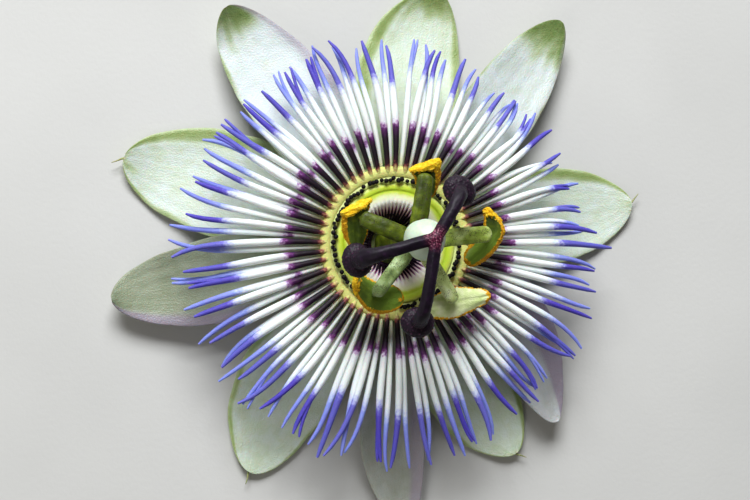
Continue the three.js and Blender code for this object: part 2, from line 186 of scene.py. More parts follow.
class Skin(Nodes):
    """A new material with one Principled shader. glow says how much light scatters in the flesh,
    depth how far it gets in millimetres, and shine how strongly the surface reflects."""

    def __init__(self, name, roughness, glow=0.0, depth=0.4, shine=0.5, sheen=0.0):
        self.material = bpy.data.materials.new(name)
        self.material.use_nodes = True
        super().__init__(self.material.node_tree)
        self.shader = self.tree.nodes["Principled BSDF"]
        for socket, value in (
            ("Roughness", roughness), ("Subsurface Weight", glow), ("Subsurface Scale", depth * MM),
            ("Specular IOR Level", shine), ("Sheen Weight", sheen),
        ):
            self.shader.inputs[socket].default_value = value
        self.place = self.add("ShaderNodeTexCoord", out="Object")

    def marked(self, name, out="Fac"):
        """What `mark` stored on the piece under this name."""
        return self.add("ShaderNodeAttribute", out=out, attribute_name=name)

    def cloud(self, size, detail, roughness=0.5):
        """Soft noise of this size in millimetres."""
        return self.add("ShaderNodeTexNoise", {
            "Vector": self.place, "Scale": 1 / (size * MM), "Detail": detail,
            "Roughness": roughness,
        })

    def cells(self, size):
        """A pattern of cells of this size in millimetres, rising from the middle of each."""
        return self.add("ShaderNodeTexVoronoi", {"Vector": self.place, "Scale": 1 / (size * MM)})

    def ramp(self, share, stops):
        """The colour at a share of the way through some stops."""
        return self.add("ShaderNodeValToRGB", {"Fac": share}, stops)

    def blend(self, share, first, second):
        """The colour a share of the way from the first to the second, which can be a hex colour."""
        if isinstance(second, str):
            second = paint(second)
        inputs = {0: share, MIX_A: first, MIX_B: second}
        return self.add("ShaderNodeMix", inputs, out=MIX_OUT, data_type="RGBA")

    def dress(self, colour, height, rise):
        """Gives the shader a colour and a bump of `rise` millimetres."""
        bump = self.add("ShaderNodeBump", {"Height": height, "Distance": rise * MM})
        self.tree.links.new(colour.socket, self.shader.inputs["Base Color"])
        self.tree.links.new(bump.socket, self.shader.inputs["Normal"])


def new_object(name, mesh):
    """Puts a mesh in the scene, smooth-shaded."""
    mesh.shade_smooth()
    made = bpy.data.objects.new(name, mesh)
    bpy.context.scene.collection.objects.link(made)
    return made


# Painted board with a soft matt finish: a faint mottle keeps it from looking like empty space.
board = Skin("matt painted board", 0.75)
tone = board.ramp(board.cloud(40, 4), [(0.3, "#c6c5c1"), (0.7, FLOOR_COLOUR)])
board.dress(tone, board.cloud(0.8, 3), 0.03)

floor_mesh = bpy.data.meshes.new("tabletop")
half = FLOOR_SIZE / 2
floor_mesh.from_pydata(
    [in_frame((x, y, 0)) for x, y in ((-half, -half), (half, -half), (half, half), (-half, half))],
    [],
    [(0, 1, 2, 3)],
)
floor = new_object("tabletop", floor_mesh)
floor_mesh.materials.append(board.material)

for name, (spot, width, height, watts, colour) in LAMPS.items():
    lamp = bpy.data.lights.new(name, "AREA")
    lamp.shape, lamp.size, lamp.size_y = "RECTANGLE", width * MM, height * MM
    lamp.energy, lamp.color = watts, paint(colour)[:3]
    holder = bpy.data.objects.new(name, lamp)
    holder.location = in_frame(spot)
    holder.rotation_euler = turned_to(spot, (0, 0, 1))
    bpy.context.scene.collection.objects.link(holder)

sky = bpy.data.worlds.new("sky")
sky.use_nodes = True
sky.node_tree.nodes["Background"].inputs["Color"].default_value = paint(SKY_COLOUR)
sky.node_tree.nodes["Background"].inputs["Strength"].default_value = SKY_STRENGTH
bpy.context.scene.world = sky
bpy.context.scene.view_settings.view_transform = "Standard"

# ------------ stalk and bracts
# The flower was picked with a few millimetres of its round green stalk, cut square below the cup.
# Three thin leafy bracts grow just under the cup and lie flat on the surface beneath the sepals.
STALK_PROFILE = [
    (0, 0), (1.45, 0), (1.6, 0.15), (1.55, 0.8), (1.6, 1.4), (1.8, 2.0), (2.1, 2.6), (0, 2.7)
]
BRACT = {
    "start": 2.9, "base": 2.1, "reach": 20.0, "half_width": 6.2, "bow": 0, "sweep": 0,
    "low": 0.32, "curl": 0.1, "thickness": 0.5, "cupping": 0.7, "base_share": 0.3, "wave": 0.25,
    "veins": 0.10, "vein_count": 7, "pucker": 0.05, "keel": 0.1, "seed": 3.0,
}
BRACT_HEADINGS = (42, 162, 282)
# Where a blade is widest and lowest, as shares of its length; how far its margins waver, as a share
# of its half width; how wide its keel is and how close it comes to the surface, in millimetres.
WIDEST, LOWEST_AT = 0.4, 0.82
MARGIN_WAVER = 0.035
KEEL_WIDTH, LEAST_GAP = 0.7, 0.02


def mark(mesh, name, values, kind="FLOAT", field="value"):
    """Stores one value for each point of a mesh, for its material to read."""
    mesh.attributes.new(name, kind, "POINT").data.foreach_set(field, values)


def settle(piece, skin, slot, *nodes):
    """Gives a finished piece its skin, its body and the CAD nodes it stands for; slot is not used.
    """
    piece.data.materials.clear()
    piece.data.materials.append(skin.material)
    piece.data.polygons.foreach_set("material_index", [0] * len(piece.data.polygons))
    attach(piece, "root")
    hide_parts(*nodes)


def ease(t):
    t = min(max(t, 0.0), 1.0)
    return t * t * (3 - 2 * t)


def mix(a, b, t):
    return a + (b - a) * t


def rough(x, y, z):
    """Smooth noise from -1 to 1 at a place."""
    return noise.noise(Vector((x, y, z)))


def turned(degrees):
    """The rotation by a heading."""
    return Matrix.Rotation(math.radians(degrees), 3, "Z")


def bell(x, width):
    """A smooth bump, 1 in its middle and nearly gone at twice its width."""
    return math.exp(-((x / width) ** 2))


def whole_faces(faces):
    """Takes repeated corners out of faces, and leaves out those with fewer than three."""
    faces = [list(dict.fromkeys(face)) for face in faces]
    return [face for face in faces if len(face) > 2]


def lathe(profile, segments):
    """Points and faces of a profile of (radius, height) turned round the axis. The profile runs
    from axis to axis or comes back to its start."""
    closed = math.dist(profile[0], profile[-1]) < 1e-4
    points, rings = [], []
    for radius, height in profile[:-1] if closed else profile:
        count = segments if radius else 1
        rings.append(range(len(points), len(points) + count))
        for k in range(count):
            turn = math.tau * k / segments
            points.append(Vector((radius * math.cos(turn), radius * math.sin(turn), height)))
    faces = []
    for low, high in zip(rings, rings[1:] + rings[:1] if closed else rings[1:]):
        for k in range(segments):
            n = (k + 1) % segments
            ends = (low, k), (low, n), (high, n), (high, k)
            faces.append([ring[corner % len(ring)] for ring, corner in ends])
    return points, whole_faces(faces)


def shape(name, points, faces):
    """A scene object from points in millimetres."""
    mesh = bpy.data.meshes.new(name)
    mesh.from_pydata([in_frame(point) for point in points], [], faces)
    mesh.update()
    return new_object(name, mesh)


def width_share(s, base_share):
    """Half width of a blade at s along its length, as a share of its greatest."""
    if s < WIDEST:
        return mix(base_share, 1, math.sin(s / WIDEST * math.pi / 2))
    return max(0.0, 1 - ((s - WIDEST) / (1 - WIDEST)) ** 2.2) ** 0.56


def middle_height(blade, s):
    if s < LOWEST_AT:
        return mix(blade["base"], blade["low"], ease(s / LOWEST_AT))
    return blade["low"] + blade["curl"] * ((s - LOWEST_AT) / (1 - LOWEST_AT)) ** 2


def blade_point(blade, s, v, side):
    """A point of a leaf-like blade before it is turned to its heading. s runs from base to tip,
    v from right margin (-1) to left (1), and side is 1 on the upper face, -1 below."""
    seed = blade["seed"]
    share = width_share(s, blade["base_share"])
    along = mix(blade["start"], blade["reach"], s)
    middle = blade["bow"] * math.sin(math.pi * s) + blade["sweep"] * s * s
    ragged = 1 + MARGIN_WAVER * rough(s * 7, math.copysign(3, v), seed)
    across = middle + v * blade["half_width"] * share * ragged
    swell = rough(along / 9, across / 7, seed * 7.3)
    ripple = rough(s * 5.5, math.copysign(2, v), seed * 3.1) * v * v
    height = middle_height(blade, s) + blade["cupping"] * share * share * v * v
    height += blade["wave"] * ease(s * 4) * (swell + 1.3 * ripple)
    wander = 0.8 * rough(along / 6, v * 3, seed)
    vein = 0.5 + 0.5 * math.cos(v * math.pi * blade["vein_count"] + wander)
    height -= blade["veins"] * (1 - vein) ** 3 * share
    grain = rough(along / 1.3, across / 0.9, seed)
    height += blade["pucker"] * (grain + rough(along / 0.6, across / 0.5, seed))
    edge = max(0.0, 1 - abs(v) ** 26) ** 0.5
    half_thick = 0.5 * blade["thickness"] * (0.55 + 0.45 * (1 - v * v)) * edge
    if side < 0:
        half_thick += blade["keel"] * bell(v * share * blade["half_width"], KEEL_WIDTH)
    return Vector((along, across, max(LEAST_GAP, height + side * half_thick)))


def blade_shape(name, blade, heading, rows=84, columns=36):
    """A closed blade; returns it with the (s, v, side) of each of its points."""
    spots = []
    stations = [0.997 * math.sin(math.pi / 2 * i / rows) ** 0.9 for i in range(rows + 1)]
    lanes = [math.sin(math.pi / 2 * (2 * j / columns - 1)) for j in range(columns + 1)]
    spots += [(s, v, 1) for s in stations for v in lanes]
    spots += [(s, v, -1) for s in stations for v in lanes[1:-1]]

    def over(i, j):
        return i * (columns + 1) + j

    def under(i, j):
        if j in (0, columns):
            return over(i, j)
        return (rows + 1) * (columns + 1) + i * (columns - 1) + j - 1

    faces = []
    for j in range(columns):
        for i in range(rows):
            faces.append([over(i, j), over(i + 1, j), over(i + 1, j + 1), over(i, j + 1)])
            faces.append([under(i, j), under(i, j + 1), under(i + 1, j + 1), under(i + 1, j)])
        faces.append([over(0, j), over(0, j + 1), under(0, j + 1), under(0, j)])
        faces.append([over(rows, j), under(rows, j), under(rows, j + 1), over(rows, j + 1)])
    turn = turned(heading)
    points = [turn @ blade_point(blade, *spot) for spot in spots]
    return shape(name, points, whole_faces(faces)), spots


# Living leaf: a waxy green skin of uneven tone.
leaf = Skin("fresh green leaf", 0.5, glow=0.1)
green = leaf.ramp(leaf.cloud(3, 5), [(0.3, "#56752f"), (0.5, "#6e8f40"), (0.72, "#93ae5e")])
leaf.dress(green, leaf.cells(0.35), 0.06)

stalk = shape("cut_stalk", *lathe(STALK_PROFILE, 40))
settle(stalk, leaf, "leaf", "stalk")
for number, heading in enumerate(BRACT_HEADINGS, 1):
    bract, _ = blade_shape(f"leafy_bract_{number}", dict(BRACT, seed=number * 2.3), heading, 60, 28)
    settle(bract, leaf, "leaf", f"bract_{number}")

# ------------ cup
# The hypanthium: a shallow fleshy cup of pale green tissue that carries every other piece. Its
# outside has ten soft ribs, one below each sepal and petal.
CUP_PROFILE = [
    (0, 2.9), (2.4, 2.9), (4.8, 2.95), (7.4, 3.25), (9.6, 3.65), (11.2, 4.15), (12.3, 4.8),
    (12.8, 5.5), (13.0, 6.3), (13.05, 7.4), (13.0, 8.6), (12.85, 9.2), (12.5, 9.4), (10.6, 9.4),
    (9.7, 9.35), (9.35, 9.0), (8.8, 7.4), (7.9, 6.3), (6.8, 5.4), (4.8, 4.75), (2.4, 4.7), (0, 4.7),
]
CUP_RIBS, RIB_RISE = 10, 0.22
# The ribs begin this far from the axis and end below this height, outside the wall's middle.
RIBS_FROM, RIBS_TO, WALL_MIDDLE = 6, 9.2, 9.4

cup_flesh = Skin("pale cup flesh", 0.5, glow=0.15, depth=0.5)
pale = cup_flesh.ramp(
    cup_flesh.cloud(2.2, 5), [(0.3, "#a3bb66"), (0.55, "#bccd84"), (0.75, "#d5dfae")])
cup_flesh.dress(pale, cup_flesh.cells(0.4), 0.05)

points, faces = lathe(CUP_PROFILE, 120)
for point in points:
    radius, turn = math.hypot(point.x, point.y), math.atan2(point.y, point.x)
    if radius > max(RIBS_FROM, WALL_MIDDLE + (point.z - 9) * 0.2) and point.z < RIBS_TO:
        swell = RIB_RISE * math.cos(CUP_RIBS * turn) * ease((radius - RIBS_FROM) / 5)
        point.x, point.y = point.x * (1 + swell / radius), point.y * (1 + swell / radius)
cup = shape("fleshy_cup", points, faces)
settle(cup, cup_flesh, "cup", "hypanthium")

# ------------ sepals
# Five fleshy sepals lie on the surface. Inside they are white with a faint green cast and green
# margins; outside they are green, with a keel that runs out into a small hooked awn at the tip.
SEPAL = {
    "start": 12.95, "base": 5.6, "sweep": 0, "low": 0.42, "thickness": 0.8, "cupping": 1.0,
    "base_share": 0.5, "wave": 0.28, "veins": 0.07, "vein_count": 7, "pucker": 0.035, "keel": 0.25,
}
# green: how wide the green band is at the right margin, at the left one and at the tip, as shares
# of the half width and the length. The middle green: how green the middle is; on two of the
# petals it is partly painted shade.
SEPALS = [
    dict(heading=162.2, reach=46.7, half_width=9.2, bow=-1.0, curl=1.4, hook=38,
         green=(0.42, 0.16, 0.10), middle_green_and_painted_shade=0.12, seed=1.0),
    dict(heading=79.0, reach=45.4, half_width=9.1, bow=1.7, curl=2.2, hook=30,
         green=(0.20, 0.40, 0.22), middle_green_and_painted_shade=0.20, seed=2.0),
    dict(heading=10.2, reach=45.3, half_width=8.6, bow=0.2, curl=1.0, hook=40,
         green=(0.08, 0.34, 0.08), middle_green_and_painted_shade=0.14, seed=3.0),
    dict(heading=-57.2, reach=42.6, half_width=8.1, bow=-0.8, curl=1.0, hook=37,
         green=(0.14, 0.22, 0.10), middle_green_and_painted_shade=0.20, seed=4.0),
    dict(heading=-121.4, reach=44.8, half_width=8.6, bow=-2.3, curl=0.8, hook=14,
         green=(0.20, 0.14, 0.06), middle_green_and_painted_shade=0.16, seed=5.0),
]
AWN_LENGTH, AWN_RADIUS = 2.9, 0.26


def tepal_flesh(name, white, green_stops, lilac):
    """Sepal or petal tissue: a skin of tiny raised cells over pale flesh, which sparkles a little
    and lets light through. "green", "lilac" and "brown" say where each tint lies; on three of the
    petals part of the lilac tint and of the green is painted shade."""
    skin = Skin(name, 0.46, glow=0.2, depth=0.5, shine=0.45, sheen=0.15)
    strand = skin.marked("strand", "Vector")
    streak = skin.add("ShaderNodeTexNoise", {"Vector": strand, "Scale": 1.0, "Detail": 5.0}) * 0.25
    swing = skin.remap(skin.cloud(2.2, 8, 0.62) * 0.75 + streak, 0.36, 0.64, -0.11, 0.13)
    colour = skin.ramp(skin.marked("green") + swing, [(0, white), *green_stops])
    colour = skin.blend(skin.marked("lilac"), colour, lilac)
    colour = skin.blend(skin.marked("brown"), colour, "#a08058")
    skin.dress(colour, skin.cells(0.26) + streak, 0.06)
    return skin


def tint_blade(piece, blade, spots, outside_green):
    """Marks where a blade is green or tinted lilac, and the run of its fine strands. On three of
    the petals part of both tints is painted shade.
    """
    right, left, tip = blade["green"]
    seed = blade["seed"]
    greens, greys, strands = [], [], []
    for s, v, side in spots:
        wander = 0.08 * rough(s * 6, v * 3, seed * 5)
        margin = max(
            ease((v - (1 - left - wander)) / (0.5 * left + 0.06)) if left else 0,
            ease((-v - (1 - right - wander)) / (0.5 * right + 0.06)) if right else 0,
        )
        margin *= 0.9 - 0.35 * ease((abs(v) - 0.9) / 0.1)
        fade = ease((s - 0.1) * 3)
        green = max(margin * fade, 0.9 * ease((s - (1 - tip - wander)) / 0.2), blade["middle_green_and_painted_shade"])
        green += 0.35 * (1 - ease((s - 0.02) / 0.3))
        # an overall lilac-grey amount, which on three of the petals is painted shade
        grey = blade.get("grey", 0.0)
        if "lilac" in blade:
            side_of, wide, amount = blade["lilac"]
            grey += amount * ease((v * side_of - (1 - wide) + wander) / 0.25) * ease((s - 0.2) * 4)
        greens.append(max(outside_green, green * 0.6) if side < 0 else green)
        greys.append(grey)
        strands += [s * 14 + seed, v * 16, side * 3.0]
    for name, values in (("green", greens), ("lilac", greys), ("brown", [0.0] * len(spots))):
        mark(piece.data, name, values)
    mark(piece.data, "strand", strands, "FLOAT_VECTOR", "vector")


def through(stops, t):
    """A point at t on the smooth curve through evenly spaced stops."""
    t = min(max(t, 0.0), 1.0) * (len(stops) - 1)
    k = min(int(t), len(stops) - 2)
    f = t - k
    a, b, c, d = (Vector(stops[min(max(k + n, 0), len(stops) - 1)]) for n in (-1, 0, 1, 2))
    if k == 0:
        a = 2 * b - c
    if k == len(stops) - 2:
        d = 2 * c - b
    return 0.5 * (2 * b + (c - a) * f + (2 * a - 5 * b + 4 * c - d) * f * f
                  + (3 * b - a - 3 * c + d) * f**3)


def smooth_profile(profile, steps):
    """The (radius, height) points of a smooth curve through a profile."""
    stops = [(radius, 0, height) for radius, height in profile]
    curve = [through(stops, k / steps) for k in range(steps + 1)]
    return [(point.x, point.z) for point in curve]


def sweep(stops, section, stations, sides, across_at=None):
    """Points, faces and (t, turn) spots of a closed form along a curve. section(t, turn) gives how
    far a point of the outline lies across and above the curve; across_at(t) can say which way
    across is, and is otherwise level."""
    points, spots = [], []
    for i in range(stations + 1):
        t = i / stations
        here = through(stops, t)
        ahead = (through(stops, min(t + 0.01, 1)) - through(stops, max(t - 0.01, 0))).normalized()
        across = across_at(t) if across_at else Vector((0, 0, 1)).cross(ahead).normalized()
        above = ahead.cross(across).normalized()
        for k in range(sides):
            turn = math.tau * k / sides
            sideways, upwards = section(t, turn)
            points.append(here + across * sideways + above * upwards)
            spots.append((t, turn))
    faces = []
    for i in range(stations):
        for k in range(sides):
            a, b = i * sides + k, i * sides + (k + 1) % sides
            faces.append([a, b, b + sides, a + sides])
    faces.append([*range(sides)][::-1])
    faces.append([*range(stations * sides, (stations + 1) * sides)])
    return points, faces, spots


def rod(foot, tip, flatness=1.0):
    """The outline, for `sweep`, of a thread whose radius goes from foot to tip."""

    def outline(t, turn):
        radius = mix(foot, tip, t)
        return radius * math.cos(turn), radius * flatness * math.sin(turn)

    return outline


def joined(name, *parts):
    """One object from several (points, faces) parts."""
    points, faces = [], []
    for part_points, part_faces in parts:
        faces += [[corner + len(points) for corner in face] for face in part_faces]
        points += part_points
    return shape(name, points, faces)


def merge(piece, others):
    """Joins the meshes of other objects into a piece and removes them."""
    grid = bmesh.new()
    grid.from_mesh(piece.data)
    for other in others:
        grid.from_mesh(other.data)
    grid.to_mesh(piece.data)
    grid.free()
    for other in others:
        bpy.data.objects.remove(other)
    piece.data.shade_smooth()


sepal_flesh = tepal_flesh(
    "sepal flesh",
    "#d2dcd6",
    [(0.25, "#c4d0b6"), (0.5, "#adbd8e"), (0.8, "#93a566"), (1.0, "#80954f")],
    "#a9a0a6",
)
for number, sepal in enumerate(SEPALS, 1):
    blade = {**SEPAL, **sepal}
    piece, spots = blade_shape(f"white_sepal_{number}", blade, sepal["heading"])
    tint_blade(piece, blade, spots, outside_green=0.85)
    turn = turned(sepal["heading"])
    bend = math.radians(sepal["hook"])
    root = Vector((blade["reach"] - 1.1, 0, middle_height(blade, 0.97) - 0.1))
    reach = Vector((math.cos(bend), math.sin(bend), 0.05))
    stops = [root, root + Vector((1.1, 0.1, 0.1)), root + Vector((1.3, 0.3, 0.2)) + reach * 0.7,
             root + Vector((1.3, 0.3, 0.2)) + reach * (AWN_LENGTH - 1.1)]
    points, faces, _ = sweep(stops, rod(AWN_RADIUS, AWN_RADIUS / 4), 12, 8)
    awn = shape("awn", [turn @ point for point in points], faces)
    for tint, amount in (("green", 0.8), ("lilac", 0.0), ("brown", 0.25)):
        mark(awn.data, tint, [amount] * len(points))
    merge(piece, [awn])
    settle(piece, sepal_flesh, "sepal", f"sepal_{number}")

# ------------ petals
# Five thinner petals lie between and just above the sepals. They are white, softer and more
# rumpled, with hooded green tips and, on the outside and along some margins, a lilac-grey bloom.
# On the three at the bottom and left, a lilac-grey tint over the whole petal, and on two of them a
# greener middle, are partly painted shade.
PETAL = {
    "start": 12.95, "base": 7.9, "thickness": 0.6, "cupping": 1.0, "base_share": 0.5, "wave": 0.45,
    "veins": 0.06, "vein_count": 5, "pucker": 0.045, "keel": 0.06, "sweep": 0,
}
PETALS = [
    dict(heading=125.2, reach=48.4, half_width=7.8, bow=-0.4, low=3.2, curl=2.6,
         green=(0.0, 0.08, 0.2), middle_green_and_painted_shade=0.0, lilac=(-1, 0.34, 0.75), seed=11.0),
    dict(heading=51.8, reach=50.0, half_width=6.6, bow=-0.7, low=3.0, curl=1.8,
         green=(0.08, 0.10, 0.26), middle_green_and_painted_shade=0.06, lilac=(-1, 0.25, 0.35), seed=12.0),
    # on this petal and the next two the overall lilac-grey amount, and on the last two the greener
    # middle, are partly painted shade
    dict(heading=-30.3, reach=41.2, half_width=7.4, bow=1.4, sweep=-10.2, low=3.4, curl=0.6,
         green=(0.0, 0.0, 0.06), middle_green_and_painted_shade=0.1, lilac=(1, 0.9, 0.6), grey=0.46, wave=1.1, seed=13.0),
    dict(heading=-86.0, reach=48.0, half_width=5.8, bow=-1.6, low=2.4, curl=0.4,
         green=(0.0, 0.0, 0.06), middle_green_and_painted_shade=0.4, lilac=(1, 0.6, 0.4), grey=0.5, seed=14.0),
    dict(heading=191.5, reach=47.4, half_width=7.2, bow=0.3, low=2.8, curl=1.2,
         green=(0.10, 0.0, 0.20), middle_green_and_painted_shade=0.65, lilac=(1, 0.42, 0.6), grey=0.36, seed=15.0),
]
petal_flesh = tepal_flesh(
    "petal flesh",
    "#cdd5d3",
    [(0.25, "#bdc8b4"), (0.5, "#9fae84"), (0.8, "#7e9256"), (1.0, "#6a8240")],
    # the petals' lilac-grey is darkened so that it is partly painted shade
    "#968c98",
)
for number, petal in enumerate(PETALS, 1):
    blade = {**PETAL, **petal}
    piece, spots = blade_shape(f"white_petal_{number}", blade, petal["heading"])
    tint_blade(piece, blade, spots, outside_green=0.3)
    settle(piece, petal_flesh, "petal", f"petal_{number}")

# ------------ corona
# Two rows of long fleshy filaments stand on the rim of the cup and spread flat over the petals.
# Each is banded: purple-black next to the cup, white, then blue-violet to its tip. The lower row is
# thinner and lies between the filaments of the upper one, and is almost all white inside.
CORONA_COUNT = 52
FORK_AT = 0.72
# Reach of the corona at each eighth of a turn from +X: it is not quite round.
CORONA_REACH = [36.7, 32.0, 33.8, 34.3, 36.2, 35.7, 36.8, 35.0]
SHORTEST, LONGEST = 30.0, 40.0
UPPER_ROW = {
    "Start": 11.7, "Width": 0.6, "Base Height": 10.85, "Rise": 1.5, "Droop": 0.4, "Turn": 0.0,
    "Purple End": 19.2, "Blue Start": 27.8, "Forked": 0.4, "Seed": 4,
}
LOWER_ROW = {
    "Start": 12.3, "Width": 0.54, "Base Height": 10.35, "Rise": 1.35, "Droop": 0.9, "Turn": 0.5,
    "Purple End": 18.4, "Blue Start": 28.4, "Forked": 0.15, "Seed": 9,
}
UPPER_RING = [
    (10.95, 9.7), (11.95, 9.7), (12.05, 10.4), (12.5, 10.6), (12.8, 10.85), (12.75, 11.0),
    (12.4, 11.15), (12.0, 11.22), (11.6, 11.22), (11.25, 11.1), (11.05, 10.98), (10.95, 10.85),
    (10.95, 9.7),
]
LOWER_RING = [
    (12.2, 9.7), (12.9, 9.7), (12.9, 10.1), (12.7, 10.3), (12.35, 10.3), (12.2, 10.1), (12.2, 9.7)
]
FILAMENT_POINTS, FILAMENT_SIDES = 17, 8
# How far filaments differ: in heading (radians), in where the purple ends and the blue starts, in
# the wave and curl of the tip and the parting of a fork (all in millimetres) and in width (share).
HEADING_SPREAD, PURPLE_SPREAD, BLUE_SPREAD, WIDTH_SPREAD = 0.012, 0.9, 1.5, 0.09
TIP_WAVE, TIP_CURL, FORK_PARTING = 0.35, 1.5, 1.3
# A fork's width as a share of the other's, and how far apart the seeds of each draw are.
FORK_WIDTH, SEED_STEP = 0.75, 17.0
# How thick a filament is along its length, as a share of its greatest thickness.
FILAMENT_TAPER = [
    (0, 0.66), (0.14, 0.74), (0.34, 0.93), (0.5, 1.0), (0.64, 0.92), (0.76, 0.78), (0.9, 0.65),
    (0.97, 0.54), (1, 0.3),
]


class Growth(Nodes):
    """A tree of geometry nodes that turns one base part into a whole piece."""

    def __init__(self, name, part, floats, counts):
        super().__init__(bpy.data.node_groups.new(name, "GeometryNodeTree"))
        names = {"Geometry": [part], "Float": floats, "Int": counts, "Material": ["Material"]}
        for kind, sockets in names.items():
            for socket in sockets:
                self.declare(socket, kind, "INPUT")
        self.declare("Piece", "Geometry", "OUTPUT")
        given = self.tree.nodes.new("NodeGroupInput").outputs
        self.given = {s: Term(self, given[s]) for sockets in names.values() for s in sockets}

    def declare(self, name, kind, way):
        self.tree.interface.new_socket(name=name, in_out=way, socket_type=f"NodeSocket{kind}")

    def store(self, geometry, **values):
        """Keeps values with a geometry under the names they have here."""
        for name, value in values.items():
            geometry = self.add("GeometryNodeStoreNamedAttribute", {
                "Geometry": geometry, "Name": name, "Value": value})
        return geometry

    def stored(self, name):
        return self.add("GeometryNodeInputNamedAttribute", {"Name": name})

    def random(self, low, high, salt=0.0, **which):
        """A random number for each point, or for each ID where that is given."""
        seed = self.given["Seed"] + salt
        return self.add("FunctionNodeRandomValue", {2: low, 3: high, "Seed": seed, **which}, out=1)

    def direction(self, heading):
        """The cosine and the sine of a heading."""
        return self.maths("COSINE", heading), self.maths("SINE", heading)

    def hand_over(self, geometry):
        """Makes a smooth-shaded geometry with the given material the result of the tree."""
        smooth = self.add("GeometryNodeSetShadeSmooth", {"Geometry": geometry})
        piece = self.add("GeometryNodeSetMaterial", {
            "Geometry": smooth, "Material": self.given["Material"]})
        self.tree.links.new(piece.socket, self.tree.nodes.new("NodeGroupOutput").inputs["Piece"])


def corona_growth():
    """Grows one row of filaments and joins it to its ring."""
    row = Growth(
        "corona row", "Ring",
        ["Start", "Width", "Base Height", "Rise", "Droop", "Turn", "Purple End", "Blue Start",
         "Forked", "Reach Spread", "Sideways Spread", "Lift Spread"],
        ["Count", "Seed"],
    )
    given, count, start = row.given, row.given["Count"], row.given["Start"]

    # one curve for each filament and one for a forked tip, all at the axis, carrying their number
    # and how far along they are
    stem = row.add("GeometryNodeCurvePrimitiveLine", {"End": (1, 0, 0)})
    stem = row.add("GeometryNodeResampleCurve", {"Curve": stem, "Count": FILAMENT_POINTS})
    stem = row.store(stem, along=row.add("GeometryNodeSplineParameter"))
    index = row.add("GeometryNodeInputIndex")
    is_fork = 1.0 - (index < count)
    seeds = row.add("GeometryNodePoints", {"Count": count * 2.0})
    seeds = row.store(seeds, which=index % count, fork=is_fork)
    unforked = is_fork * (row.random(0.0, 1.0) > given["Forked"])
    seeds = row.add("GeometryNodeDeleteGeometry", {"Geometry": seeds, "Selection": unforked})
    curves = row.add("GeometryNodeInstanceOnPoints", {"Points": seeds, "Instance": stem})
    curves = row.add("GeometryNodeRealizeInstances", {"Geometry": curves})

    along, which, fork = (row.stored(name) for name in ("along", "which", "fork"))
    past_fork = along * fork
    along = along * (fork * -FORK_AT + 1.0) + fork * FORK_AT

    def chance(number, low=-1.0, high=1.0):
        """A random number of each filament's own."""
        return row.random(low, high, SEED_STEP * number, ID=which)

    # heading and reach
    share = (which + given["Turn"]) / count
    heading = share * math.tau + chance(1) * HEADING_SPREAD
    spots = [(k / 8, (CORONA_REACH[k % 8] - SHORTEST) / (LONGEST - SHORTEST)) for k in range(9)]
    outline = row.add("ShaderNodeFloatCurve", {"Value": share}, spots)
    reach = outline * (LONGEST - SHORTEST) + SHORTEST + chance(2) * given["Reach Spread"]
    radius = along * (reach - start) + start

    # sideways: a slow bend of the whole filament, a curl of its last third and a parting fork
    late, very_late = along ** 2.6, along ** 7.0
    wave = row.maths("SINE", along * 7.0 + chance(6, 0.0, 6.0))
    sideways = (chance(3) * late * given["Sideways Spread"] + wave * late * TIP_WAVE
                + chance(4) * very_late * TIP_CURL + chance(11) * past_fork * FORK_PARTING)

    # height: up off the ring, then flat, then a little down or up at the tip
    arch = row.maths("SINE", along ** 0.75 * 3.0)
    height = (arch * given["Rise"] + given["Base Height"] - late * given["Droop"]
              + chance(5) * given["Lift Spread"] * late)

    cosine, sine = row.direction(heading)
    spot = row.add("ShaderNodeCombineXYZ", {
        "X": radius * cosine - sideways * sine, "Y": radius * sine + sideways * cosine, "Z": height,
    })
    curves = row.add("GeometryNodeSetPosition", {"Geometry": curves, "Position": spot})

    # band: 0 to 1 across the purple, 1 to 2 across the white, 2 to 3 across the blue
    purple_end = chance(7) * PURPLE_SPREAD + given["Purple End"]
    blue_start = chance(8) * BLUE_SPREAD + given["Blue Start"]
    purple, white, blue = (
        row.remap(radius, low, high)
        for low, high in ((start, purple_end), (purple_end, blue_start), (blue_start, reach))
    )
    curves = row.store(curves, band=purple + white + blue, pallor=chance(9, 0.0, 1.0),
                       lot=chance(12, 0.0, 1.0))

    # body: thickest in the white, tapering from the blue, blunt at the tip
    taper = row.add("ShaderNodeFloatCurve", {"Value": along}, FILAMENT_TAPER)
    width = chance(10) * WIDTH_SPREAD + 1.0
    width = width * given["Width"] * (fork * (FORK_WIDTH - 1.0) + 1.0)
    circle = row.add("GeometryNodeCurvePrimitiveCircle", {
        "Resolution": FILAMENT_SIDES, "Radius": 1.0})
    filaments = row.add("GeometryNodeCurveToMesh", {
        "Curve": curves, "Profile Curve": circle, "Scale": taper * width, "Fill Caps": True})
    row.hand_over(row.add("GeometryNodeJoinGeometry", {"Geometry": [filaments, given["Ring"]]}))
    return row


def applied(piece):
    """Applies the modifiers of a piece and returns its new mesh."""
    bpy.context.view_layer.update()
    seen = piece.evaluated_get(bpy.context.evaluated_depsgraph_get())
    plain = bpy.data.meshes.new_from_object(seen)
    piece.modifiers.clear()
    piece.data = plain
    return plain


def grow(name, growth, skin, base, **inputs):
    """Grows a base mesh in millimetres into a piece with a skin."""
    piece = new_object(name, base)
    growing = piece.modifiers.new("growth", "NODES")
    growing.node_group = growth.tree
    inputs["Material"] = skin.material
    for socket in growth.tree.interface.items_tree:
        if socket.in_out == "INPUT" and socket.name in inputs:
            growing[socket.identifier] = inputs[socket.name]
    applied(piece).transform(Matrix.Translation(AXIS) @ Matrix.Scale(MM, 4))
    return piece


def plain_mesh(name, points, faces):
    """A mesh in millimetres, for a growth to work on."""
    mesh = bpy.data.meshes.new(name)
    mesh.from_pydata(points, [], faces)
    return mesh


